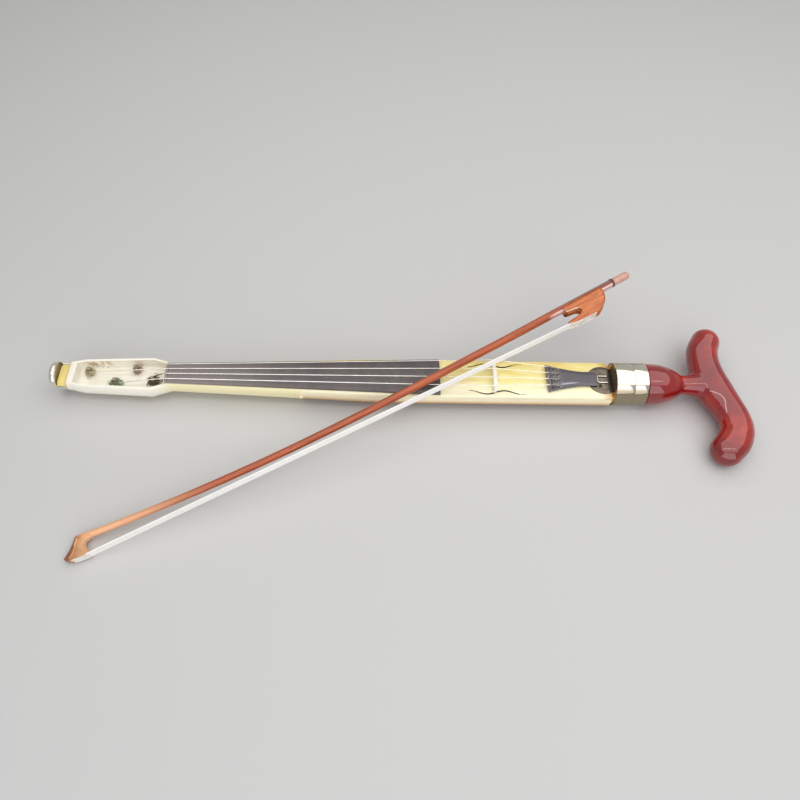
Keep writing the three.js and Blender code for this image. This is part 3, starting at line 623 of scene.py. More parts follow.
class Finishes:
    """Every finish of the object, each made once."""

    def __init__(self) -> None:
        """Make the materials."""
        self.maple = Wood(
            "maple_varnished",
            tint(255, 250, 226), tint(254, 243, 206), tint(244, 222, 170),
            figure=(0.006, 0.05, 0.05), figure_strength=0.18,
            stains_and_shade=(
                # painted shade: the shell's lower sides turn tan, then brown, towards the bottom,
                # where they face away from the light
                Stain(Axis.Z, 0.0240, 0.0195, tint(236, 196, 138), 0.9, 0.002),
                Stain(Axis.Z, 0.0200, 0.0145, tint(142, 106, 72), 0.85, 0.002),
            ),
        ).make()
        self.neck = Wood(
            "maple_pale_varnished",
            tint(255, 254, 247), tint(255, 251, 237), tint(248, 236, 206),
            figure=(0.006, 0.05, 0.05), figure_strength=0.12,
            stains_and_shade=(
                # painted shade: the neck turns yellow-tan towards its bottom, where its lower side
                # faces away from the light
                Stain(Axis.Z, 0.016, 0.006, tint(236, 210, 146), 0.75),
                Stain(Axis.X, -0.247, -0.222, tint(246, 236, 178), 0.8, 0.01),
                # painted shade at the tongue inside the ring: an amber band at the step behind it,
                # and the tongue golden, partly its own tone and partly the ring's shade painted on
                Stain(Axis.X, -0.3338, -0.3349, tint(216, 164, 70), 0.85, 0.001),
                Stain(Axis.X, -0.3362, -0.3374, tint(255, 236, 150), 0.95, 0.001),
            ),
            # painted shade: a mottled tan on the far inner wall of the pegs' trough
            marked=tint(176, 144, 84), mottle=0.006,
            marked_within=((Axis.Y, 0.0505, 0.0530), (Axis.X, -0.290, -0.306)),
        ).make()
        self.spruce = Wood(
            "spruce_belly",
            tint(255, 250, 196), tint(254, 244, 172), tint(246, 222, 128),
            fibre=(0.09, 0.0011, 0.0011), figure=(0.05, 0.012, 0.05), figure_strength=0.1,
            stains_and_shade=(
                # painted light on the belly: the near half paler as a painted highlight, the far
                # edge and the tail end amber as painted shade
                Stain(Axis.Y, 0.044, 0.026, tint(255, 252, 226), 0.75, 0.012),
                Stain(Axis.Y, 0.0570, 0.064, tint(232, 196, 100), 0.35, 0.010),
                Stain(Axis.X, 0.199, 0.212, tint(216, 156, 66), 0.7, 0.006),
            ),
            # the marked colour here is painted shade on the walls of the sound slots
            patch=tint(250, 220, 116), marked=tint(104, 88, 34),
        ).make()
        self.inside = Wood(
            "bare_spruce", tint(240, 220, 178), tint(226, 200, 150), tint(198, 164, 108), coat=0.0
        ).make()
        # painted shade: the maple tail block is dark brown as the shade in the gap under the
        # collar, with amber at its far and near edges
        self.block = Wood(
            "tail_block_painted_shade", tint(104, 80, 52), tint(80, 60, 40), tint(54, 38, 26), roughness=0.5,
            stains_and_shade=(
                Stain(Axis.Y, 0.0510, 0.0535, tint(222, 168, 72), 0.9, 0.001),
                Stain(Axis.Y, 0.0235, 0.0205, tint(196, 152, 72), 0.85, 0.001),
            ),
        ).make()
        self.bridge = Wood(
            "bridge_maple",
            tint(255, 253, 244), tint(252, 248, 236), tint(238, 226, 200),
            fibre=(0.0008, 0.02, 0.0008), coat=0.05, roughness=0.5,
        ).make()
        self.ebony = Wood(
            "ebony",
            tint(112, 104, 102), tint(96, 88, 87), tint(70, 63, 63),
            fibre=(0.05, 0.0006, 0.0006), figure_strength=0.3, roughness=0.38,
            coat=0.25, coat_roughness=0.22,
            stains_and_shade=(Stain(Axis.X, -0.08, -0.24, tint(152, 144, 141), 0.8, 0.01),),
        ).make()
        self.tail_wood = Wood(
            "ebony_tailpiece",
            tint(106, 102, 108), tint(86, 81, 86), tint(56, 50, 52),
            fibre=(0.05, 0.0006, 0.0006), roughness=0.36, coat=0.35, coat_roughness=0.14,
            stains_and_shade=(Stain(Axis.X, 0.158, 0.146, tint(92, 74, 88), 0.8, 0.006),),
            speck=tint(188, 190, 172), speck_reach=(0.161, 0.154),
            # painted highlight along the tailpiece's near ridge
            marked=tint(206, 202, 214),
        ).make()
        self.bow_wood = Wood(
            "bow_wood",
            tint(208, 112, 56), tint(184, 84, 36), tint(120, 48, 20),
            fibre=(0.03, 0.0008, 0.0008), figure=(0.05, 0.004, 0.004), figure_strength=0.4,
            cloud=0.05, roughness=0.36, coat=0.7, coat_roughness=0.04, turn=BOW_TURN,
            stains_and_shade=(
                Stain(Axis.X, -0.16, -0.275, tint(244, 184, 136), 0.95, 0.01),
                Stain(Axis.X, 0.14, 0.20, tint(112, 56, 44), 0.75, 0.01),
            ),
            # painted highlight on two lower facets of the butt
            marked=tint(240, 204, 196), gloss=0.25,
        ).make()
        self.head_wood = Wood(
            "bow_head_wood",
            tint(255, 226, 184), tint(252, 206, 156), tint(226, 166, 118),
            fibre=(0.018, 0.0008, 0.0008), figure_strength=0.2, roughness=0.34,
            # painted shade on the bevelled front of the head
            coat=0.4, coat_roughness=0.1, turn=BOW_TURN, marked=tint(140, 80, 52),
            stains_and_shade=(
                Stain(Axis.X, -0.2975, -0.3035, tint(112, 92, 84), 0.7, 0.001),
            ),
            gloss=0.25,
        ).make()
        self.frog_wood = Wood(
            "bow_frog_wood",
            tint(240, 158, 100), tint(214, 118, 58), tint(158, 74, 28),
            fibre=(0.016, 0.0009, 0.0009), figure=(0.02, 0.003, 0.003), figure_strength=0.45,
            cloud=0.012, roughness=0.36, coat=0.35, coat_roughness=0.12, turn=BOW_TURN,
            # painted highlight along the upper tongue's lower edge and in the throat's mouth
            marked=tint(250, 226, 196),
        ).make()
        self.dark_wood = Wood(
            "bow_dark_ring",
            tint(96, 58, 44), tint(74, 42, 32), tint(52, 28, 20),
            fibre=(0.012, 0.0007, 0.0007), roughness=0.34, turn=BOW_TURN,
        ).make()
        self.button = Wood(
            "button_wood",
            tint(232, 188, 170), tint(214, 164, 146), tint(170, 118, 102),
            fibre=(0.012, 0.0007, 0.0007), roughness=0.3, coat=0.4, turn=BOW_TURN,
        ).make()
        self.nickel = Metal(
            "nickel_silver", tint(232, 226, 210), tint(190, 178, 150), roughness=0.11, tarnish=0.2,
            # painted shade: the collar's far and near sides are darker olive-grey, so only the top
            # band stays bright
            stains_and_shade=(
                Stain(Axis.Y, 0.0472, 0.0510, tint(156, 143, 114), 0.9, 0.002),
                Stain(Axis.Y, 0.0238, 0.0200, tint(150, 138, 112), 0.9, 0.002),
            ),
        ).make()
        self.ring_metal = Metal(
            "ring_metal", tint(238, 234, 226), tint(188, 176, 146), roughness=0.2, tarnish=0.4
        ).make()
        self.web_metal = Metal(
            "web_metal", tint(232, 226, 200), tint(176, 168, 138), roughness=0.6, tarnish=0.5,
            cloud=0.004,
        ).make()
        self.steel = Metal(
            "string_steel", tint(240, 236, 228), tint(196, 190, 182), roughness=0.24,
            scratch=(0.0003, 0.01, 0.01),
        ).make()
        self.pin_steel = Metal(
            "pin_steel", tint(168, 158, 140), tint(96, 84, 64), roughness=0.42, tarnish=0.7,
            cloud=0.003,
        ).make()
        self.plate_steel = Metal(
            "plate_steel", tint(118, 108, 96), tint(70, 60, 48), roughness=0.2, tarnish=0.7,
            cloud=0.006,
        ).make()
        self.brass = Metal(
            "brass", tint(216, 176, 92), tint(150, 112, 48), roughness=0.26
        ).make()
        self.dark_screw = Metal(
            "dark_screw", tint(74, 66, 58), tint(44, 38, 32), roughness=0.4, cloud=0.002
        ).make()
        self.lacquer = Lacquer(
            "red_lacquer", tint(112, 4, 4), tint(144, 10, 6), tint(204, 54, 14)
        ).make()
        self.hair = Strand(
            "bow_hair", tint(255, 254, 251), tint(246, 243, 236), relief=0.00001, turn=BOW_TURN
        ).make()
        self.pearl = Strand(
            "pearl_slide", tint(250, 246, 236), tint(224, 216, 200),
            streak=(0.004, 0.004, 0.004), roughness=0.22, sheen=0.0, relief=0.0, turn=BOW_TURN,
        ).make()
        self.ivory = Strand(
            "tip_ivory", tint(252, 248, 240), tint(222, 214, 202),
            streak=(0.003, 0.001, 0.001), roughness=0.3, sheen=0.0, relief=0.0, turn=BOW_TURN,
        ).make()
        silks = (
            (tint(200, 176, 148), tint(112, 84, 58)),
            (tint(206, 200, 160), tint(132, 124, 84)),
            (tint(112, 88, 60), tint(58, 42, 28)),
            (tint(150, 176, 140), tint(92, 88, 40)),
        )
        spots = (0.0008, 0.0008, 0.0008, 0.004)
        self.silks = tuple(
            Strand(f"silk_{i + 1}", pale, deep, streak=(spots[i],) * 3).make()
            for i, (pale, deep) in enumerate(silks)
        )
        self.tail_silk = Strand(
            "silk_at_tail", tint(172, 168, 160), tint(92, 84, 88), streak=(0.0008, 0.0008, 0.0008)
        ).make()


def joined(points: Sequence[Pair], samples: int, closed: bool = False) -> list[Pair]:
    """Points of a smooth line through the given points.

    Args:
        points: the points to run through.
        samples: how many steps each stretch gets.
        closed: whether the line returns to its start.

    Returns:
        The finer list of points.
    """
    count = len(points)
    fine: list[Pair] = []
    for i in range(count if closed else count - 1):
        about = (i - 1, i, i + 1, i + 2)
        near = [points[k % count if closed else min(max(k, 0), count - 1)] for k in about]
        for step in range(samples):
            t = step / samples
            fine.append(
                tuple(
                    0.5 * (
                        2 * b + (c - a) * t + (2 * a - 5 * b + 4 * c - d) * t**2
                        + (3 * b - a - 3 * c + d) * t**3
                    )
                    for a, b, c, d in zip(*near)
                )
            )
    if not closed:
        fine.append(points[-1])
    return fine


def loft(mesh: bmesh.types.BMesh, rings: Sequence[Sequence[Point]], capped: bool = True) -> None:
    """Run a closed ring of points through its further places.

    Args:
        mesh: the mesh that it is added to.
        rings: the places of the ring, each with as many points as the first.
        capped: whether the two ends are closed.
    """
    count = len(rings[0])
    verts = [mesh.verts.new(point) for point in rings[0]]
    edges = [mesh.edges.new((verts[i], verts[(i + 1) % count])) for i in range(count)]
    if capped:
        mesh.faces.new(verts)
    for ring in rings[1:]:
        grown = bmesh.ops.extrude_edge_only(mesh, edges=edges)["geom"]
        fresh = {v for v in grown if isinstance(v, bmesh.types.BMVert)}
        edges = [e for e in grown if isinstance(e, bmesh.types.BMEdge)]
        following = []
        for vert, point in zip(verts, ring):
            other = next(e.other_vert(vert) for e in vert.link_edges if e.other_vert(vert) in fresh)
            other.co = point
            following.append(other)
        verts = following
    if capped:
        mesh.faces.new(verts)


def tube(
    mesh: bmesh.types.BMesh,
    points: Sequence[Point],
    radius: float | Sequence[float],
    sides: int = 12,
) -> None:
    """Run a round section along points, closed at both ends.

    Args:
        mesh: the mesh that it is added to.
        points: the points along its middle.
        radius: its radius, or one for each point.
        sides: how many sides its section has.
    """
    path = [Vector(p) for p in points]
    radii = [radius] * len(path) if isinstance(radius, (int, float)) else list(radius)
    tangents = []
    for i in range(len(path)):
        before, after = path[max(i - 1, 0)], path[min(i + 1, len(path) - 1)]
        tangents.append((after - before).normalized())
    normal = tangents[0].orthogonal().normalized()
    rings = []
    for at, along, r in zip(path, tangents, radii):
        normal = (normal - normal.dot(along) * along).normalized()
        side = along.cross(normal)
        turns = (2 * math.pi * k / sides for k in range(sides))
        rings.append([at + r * (math.cos(t) * normal + math.sin(t) * side) for t in turns])
    loft(mesh, rings)


def lathe(
    mesh: bmesh.types.BMesh,
    profile: Sequence[Pair],
    steps: int = 72,
    start: float = 0.0,
    sweep: float = 2 * math.pi,
    closed: bool = False,
) -> None:
    """Turn a profile of (along X, radius) pairs about X.

    Args:
        mesh: the mesh that it is added to.
        profile: the pairs, in order.
        steps: how many steps the turn has.
        start: the angle from +Y towards +Z at which it begins.
        sweep: how far it turns.
        closed: whether the profile's last point joins its first.
    """
    verts = [mesh.verts.new((x, r * math.cos(start), r * math.sin(start))) for x, r in profile]
    edges = [mesh.edges.new(pair) for pair in zip(verts, verts[1:])]
    if closed:
        edges.append(mesh.edges.new((verts[-1], verts[0])))
    full = abs(sweep) > 2 * math.pi - 1e-6
    if not full:
        mesh.faces.new(verts)
    grown = bmesh.ops.spin(
        mesh,
        geom=verts + edges,
        cent=(0, 0, 0),
        axis=(1, 0, 0),
        dvec=(0, 0, 0),
        angle=sweep,
        steps=steps,
        use_merge=full,
    )["geom_last"]
    if not full:
        rim = [e for e in grown if isinstance(e, bmesh.types.BMEdge)]
        bmesh.ops.contextual_create(mesh, geom=rim)
    bmesh.ops.remove_doubles(mesh, verts=mesh.verts, dist=SEAM)


def pillow(
    mesh: bmesh.types.BMesh,
    outline: Sequence[Pair],
    half: float | Callable[[float, float], float],
    insets: Sequence[float],
    levels: Sequence[Pair] = ((0.0, 1.0), (0.7, 0.62), (1.0, 0.0)),
) -> None:
    """A slab of an outline in the XY plane whose edges are rounded or bevelled inwards.

    Args:
        mesh: the mesh that it is added to.
        outline: the outline's points.
        half: half the thickness, or a rule that gives it at a point.
        insets: how far each point draws in at the slab's two faces.
        levels: pairs of (share of the inset, share of the thickness), from edge to face.
    """
    count = len(outline)
    area = sum(
        outline[i][0] * outline[(i + 1) % count][1] - outline[(i + 1) % count][0] * outline[i][1]
        for i in range(count)
    )
    hand = 1 if area > 0 else -1
    inward = []
    for i in range(count):
        before, after = outline[i - 1], outline[(i + 1) % count]
        along = Vector((after[0] - before[0], after[1] - before[1])).normalized()
        inward.append((-along.y * hand, along.x * hand))

    def ring(share: float, rise: float, side: int) -> list[Point]:
        """The outline drawn in by a share of its insets, at a share of the thickness.

        Args:
            share: the share of the insets.
            rise: the share of the thickness.
            side: 1 for the upper face, -1 for the lower.

        Returns:
            The ring's points.
        """
        points = []
        for (x, y), (nx, ny), inset in zip(outline, inward, insets):
            px, py = x + nx * inset * share, y + ny * inset * share
            reach = half(px, py) if callable(half) else half
            points.append((px, py, side * rise * reach))
        return points

    order = [ring(share, rise, -1) for share, rise in reversed(levels)]
    order += [ring(share, rise, 1) for share, rise in levels]
    loft(mesh, order)


def outwards(mesh: bmesh.types.BMesh) -> None:
    """Turn every face of a closed mesh outwards.

    Args:
        mesh: the closed mesh.
    """
    bmesh.ops.recalc_face_normals(mesh, faces=mesh.faces)
    if mesh.calc_volume(signed=True) < 0:
        bmesh.ops.reverse_faces(mesh, faces=mesh.faces)


@dataclass
class Workshop:
    """Turns meshes in millimetres into finished pieces that ride on their bodies."""

    finishes: Finishes
    made: list[str] = field(default_factory=list)

    def settle(
        self,
        mesh: bmesh.types.BMesh,
        name: str,
        place: Matrix,
        body: Body,
        finish: bpy.types.Material,
        slot: str,
        replaced: Iterable[str] = (),
        sharp: float = 38.0,
        marks: Callable[[Vector], float] | None = None,
    ) -> bpy.types.Object:
        """Lay a mesh into the row frame, shade it, and make it a riding piece.

        Args:
            mesh: the mesh, which is freed.
            name: the piece's name.
            place: the matrix from its frame to the row frame.
            body: the body that it rides on.
            finish: its material.
            slot: the record's material slot; not used.
            replaced: the nodes that it stands for.
            sharp: the angle in degrees past which an edge stays crisp.
            marks: a rule that gives a point's mark, from 0 to 1, in the piece's own frame.

        Returns:
            The piece.
        """
        if marks:
            layer = mesh.verts.layers.float.new(MARK)
            for vert in mesh.verts:
                vert[layer] = marks(vert.co)
        bmesh.ops.transform(mesh, matrix=place, verts=mesh.verts)
        outwards(mesh)
        for face in mesh.faces:
            face.smooth = True
        for edge in mesh.edges:
            edge.smooth = edge.calc_face_angle(0.0) < math.radians(sharp)
        data = bpy.data.meshes.new(name)
        mesh.to_mesh(data)
        mesh.free()
        data.materials.append(finish)
        piece = bpy.data.objects.new(name, data)
        bpy.context.scene.collection.objects.link(piece)
        return self.hand_over(piece, body, replaced)

    def hand_over(
        self, piece: bpy.types.Object, body: Body, replaced: Iterable[str] = ()
    ) -> bpy.types.Object:
        """Let a piece ride, and hide the nodes it stands for.

        Args:
            piece: the piece.
            body: the body that it rides on.
            replaced: the nodes that it stands for.

        Returns:
            The piece.
        """
        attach(piece, body.value)
        nodes = list(replaced)
        if nodes:
            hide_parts(*nodes)
        self.made.append(piece.name)
        log.info("piece %s: %d faces, on %s", piece.name, len(piece.data.polygons), body.value)
        return piece

    def softened(
        self,
        node: str,
        body: Body,
        finish: bpy.types.Material,
        slot: str,
        width: float,
        segments: int = 2,
        angle: float = 35.0,
        marks: Callable[[Vector], float] | None = None,
    ) -> bpy.types.Object:
        """A copy of a node with its corners merged and its edges rounded.

        Args:
            node: the node that is copied and replaced.
            body: the body that it rides on.
            finish: its material.
            slot: the record's material slot.
            width: the width of the rounding, in millimetres.
            segments: how many faces the rounding has.
            angle: the angle in degrees past which an edge is rounded.
            marks: a rule that gives a point's mark, from 0 to 1, in the row frame.

        Returns:
            The rounded piece.
        """
        mesh = bmesh.new()
        mesh.from_mesh(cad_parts[node].data)
        bmesh.ops.remove_doubles(mesh, verts=mesh.verts, dist=MERGE)
        bmesh.ops.dissolve_limit(
            mesh, angle_limit=math.radians(FLAT_ANGLE), verts=mesh.verts, edges=mesh.edges
        )
        bmesh.ops.dissolve_degenerate(mesh, edges=mesh.edges, dist=SLIVER)
        turned = math.radians(angle)
        sharp = [e for e in mesh.edges if e.is_manifold and e.calc_face_angle(0.0) > turned]
        bmesh.ops.bevel(
            mesh,
            geom=sharp,
            offset=width * MM,
            offset_type="OFFSET",
            segments=segments,
            profile=0.5,
            affect="EDGES",
            clamp_overlap=True,
            material=-1,
        )
        return self.settle(
            mesh, f"{node}_rounded", Matrix.Identity(4), body, finish, slot, (node,), marks=marks
        )

    def dress(self, node: str, finish: bpy.types.Material) -> None:
        """Give a carried-over node its material.

        Args:
            node: the node.
            finish: its material.
        """
        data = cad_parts[node].data
        data.materials.clear()
        data.materials.append(finish)
        self.made.append(node)
        log.info("node %s dressed in %s", node, finish.name)


def applied(piece: bpy.types.Object) -> None:
    """Make a piece's modifiers part of its mesh.

    Args:
        piece: the piece whose modifiers are baked in.
    """
    bpy.context.view_layer.update()
    graph = bpy.context.evaluated_depsgraph_get()
    baked = bpy.data.meshes.new_from_object(piece.evaluated_get(graph))
    piece.modifiers.clear()
    piece.data = baked


@dataclass
class SoundBox:
    """The neck with its peg box, the round body, the belly and what is inside them."""

    shop: Workshop
    joint_station: float = 253.0
    joint_radius: float = 19.4
    body_wall: float = 2.6
    stud_radius: float = 2.6
    stud_height: float = 1.6
    stud_reach: float = 2.0
    trough_start: float = 28.5
    trough_end: float = 119.5
    trough_reach: float = 18.2
    trough_top: float = 5.4
    belly_top: float = 6.3
    slot_stations: Pair = (385.0, 500.0)
    slot_reach: float = 18.0

    def trough_rule(self) -> Callable[[Vector], float]:
        """A rule that marks the inside of the pegs' trough, where the neck's finish paints a
        mottled shade on the far wall.

        Returns:
            The rule.
        """
        back = PLACES.violin().inverted()

        def rule(point: Vector) -> float:
            """The mark of a point of the row frame.

            Args:
                point: the point.

            Returns:
                Its mark, 0 or 1.
            """
            at = back @ point
            along = self.trough_start < at.x < self.trough_end
            reach = math.hypot(at.y, at.z)
            inner = mix(self.trough_reach, 12.6, max((at.x - 104.0) / 20.0, 0.0))
            return 1.0 if along and at.z < self.trough_top and reach < inner else 0.0

        return rule

    def slot_rule(self) -> Callable[[Vector], float]:
        """A rule that marks the walls of the belly's two sound slots, which the belly's finish
        paints dark as shade.

        Returns:
            The rule.
        """
        back = PLACES.violin().inverted()
        start, end = self.slot_stations

        def rule(point: Vector) -> float:
            """The mark of a point of the row frame.

            Args:
                point: the point.

            Returns:
                Its mark, 0 or 1.
            """
            at = back @ point
            inside = start < at.x < end and abs(at.y) < self.slot_reach
            return 1.0 if inside and at.z < self.belly_top - 0.1 else 0.0

        return rule

    def build(self) -> None:
        """Round the shell's pieces and dress what is inside."""
        shop, finishes = self.shop, self.shop.finishes
        shop.softened(
            "neck_and_peg_box", Body.VIOLIN, finishes.neck, "maple", 0.7, marks=self.trough_rule()
        )
        shop.softened("body_shell", Body.VIOLIN, finishes.maple, "maple", 0.3)
        shop.softened(
            "soundboard", Body.VIOLIN, finishes.spruce, "spruce", 0.45, marks=self.slot_rule()
        )
        shop.softened("tail_block", Body.VIOLIN, finishes.block, "maple", 0.4)
        shop.dress("bass_bar", finishes.inside)
        shop.dress("sound_post", finishes.inside)
        for side, name in ((1, "far"), (-1, "near")):
            self.stud(side, name)

    def stud(self, side: int, name: str) -> None:
        """One locating stud at the neck joint, with a turned and faceted dome.

        Args:
            side: 1 for the far side, -1 for the near one.
            name: the side's name.
        """
        mesh = bmesh.new()
        r, h = self.stud_radius, self.stud_height
        profile = [(-self.stud_reach, 0.0), (-self.stud_reach, r), (0.2, r), (0.7 * h, 0.86 * r)]
        profile += [(h, 0.5 * r), (h, 0.0)]
        lathe(mesh, profile, 12)
        turn = Matrix.Rotation(side * math.pi / 2, 4, "Z")
        at = Matrix.Translation((self.joint_station, side * self.joint_radius, -self.body_wall))
        self.shop.settle(
            mesh, f"stud_{name}", PLACES.violin() @ at @ turn, Body.VIOLIN,
            self.shop.finishes.maple, "maple", (f"joint_stud_{name}",), sharp=20,
        )


@dataclass
class Metalwork:
    """The end ring and the two collars."""

    shop: Workshop
    ring_start: float = 7.0
    hoop_end: float = 13.0
    sleeve_end: float = 22.0
    ring_radius: float = 14.1
    wall: float = 0.9
    nose: float = 1.0
    sleeve_height: float = 1.2
    collar_start: float = 569.5
    split: float = 588.0
    seam_gap: float = 0.05
    knob_start: float = 602.0
    collar_radius: float = 21.9
    collar_bore: float = 20.8
    recess_radius: float = 12.2
    web_start: float = 8.5

    def build(self) -> None:
        """Build the ring and its web, then the collars."""
        self.hoop()
        self.web()
        self.collar("collar_of_body", self.collar_start, self.split, Body.VIOLIN, "body_collar")
        start = self.split + self.seam_gap
        self.collar("collar_of_handle", start, self.knob_start, Body.HANDLE, "handle_collar")

    def hoop(self) -> None:
        """The full hoop and the half sleeve that runs on from it."""
        mesh = bmesh.new()
        outer, inner = self.ring_radius, self.ring_radius - self.wall
        nose, start, end = self.nose, self.ring_start, self.hoop_end
        recess, deep = self.recess_radius, self.web_start
        wall = [
            (deep, recess), (start + 0.3, recess), (start, recess + 0.3),
            (start, outer - nose - 0.3), (start + 0.25, outer - nose + 0.1),
            (start + 1.1, outer - 0.3), (start + 2.4, outer),
            (end - 1.3, outer), (end - 1.0, outer - 0.12), (end - 0.7, outer),
            (end - 0.2, outer), (end, outer - 0.2), (end, inner + 0.2), (end - 0.2, inner),
            (start + 2.4, inner), (deep + 0.2, inner),
        ]
        lathe(mesh, wall, 96, closed=True)
        rise = math.asin(self.sleeve_height / outer)
        shell = [
            (end - 0.5, outer - 0.05), (self.sleeve_end - 0.2, outer - 0.05),
            (self.sleeve_end, outer - 0.25), (self.sleeve_end, inner), (end - 0.5, inner),
        ]
        sleeve = bmesh.new()
        lathe(sleeve, shell, 56, start=rise, sweep=-(math.pi + 2 * rise), closed=True)
        data = bpy.data.meshes.new("sleeve_part")
        sleeve.to_mesh(data)
        sleeve.free()
        mesh.from_mesh(data)
        bpy.data.meshes.remove(data)
        self.shop.settle(
            mesh, "ring_and_sleeve", PLACES.violin(), Body.VIOLIN,
            self.shop.finishes.ring_metal, "nickel_silver", ("end_ring",), sharp=30,
        )

    def web(self) -> None:
        """The thin disc that closes the hoop, turned in shallow steps."""
        mesh = bmesh.new()
        start, end = self.web_start, self.web_start + self.wall
        inner = self.ring_radius - self.wall
        profile = [
            (start + 0.25, 0.0), (start + 0.25, 3.0), (start, 3.4), (start, self.recess_radius),
            (start + 0.3, inner), (end, inner), (end, 9.5), (end - 0.2, 9.2),
            (end - 0.2, 3.0), (end, 2.6), (end, 0.0),
        ]
        lathe(mesh, profile, 72)
        self.shop.settle(
            mesh, "ring_web", PLACES.violin(), Body.VIOLIN,
            self.shop.finishes.web_metal, "nickel_silver", ("end_ring",), sharp=30,
        )

    def collar(self, name: str, start: float, end: float, body: Body, node: str) -> None:
        """A collar with rolled edges.

        Args:
            name: the collar's name.
            start: the station where it starts.
            end: the station where it ends.
            body: the body that it rides on.
            node: the node that it stands for.
        """
        mesh = bmesh.new()
        outer, inner = self.collar_radius, self.collar_bore + 0.15
        if body is Body.HANDLE:
            inner = self.collar_radius - self.wall
        profile = [
            (start, inner), (start, outer - 0.2), (start + 0.06, outer - 0.06),
            (start + 0.2, outer), (end - 0.2, outer), (end - 0.06, outer - 0.06),
            (end, outer - 0.2), (end, inner),
        ]
        lathe(mesh, profile, 120, closed=True)
        place = PLACES.violin() if body is Body.VIOLIN else PLACES.handle()
        self.shop.settle(
            mesh, name, place, body, self.shop.finishes.nickel, "nickel_silver", (node,), sharp=50
        )


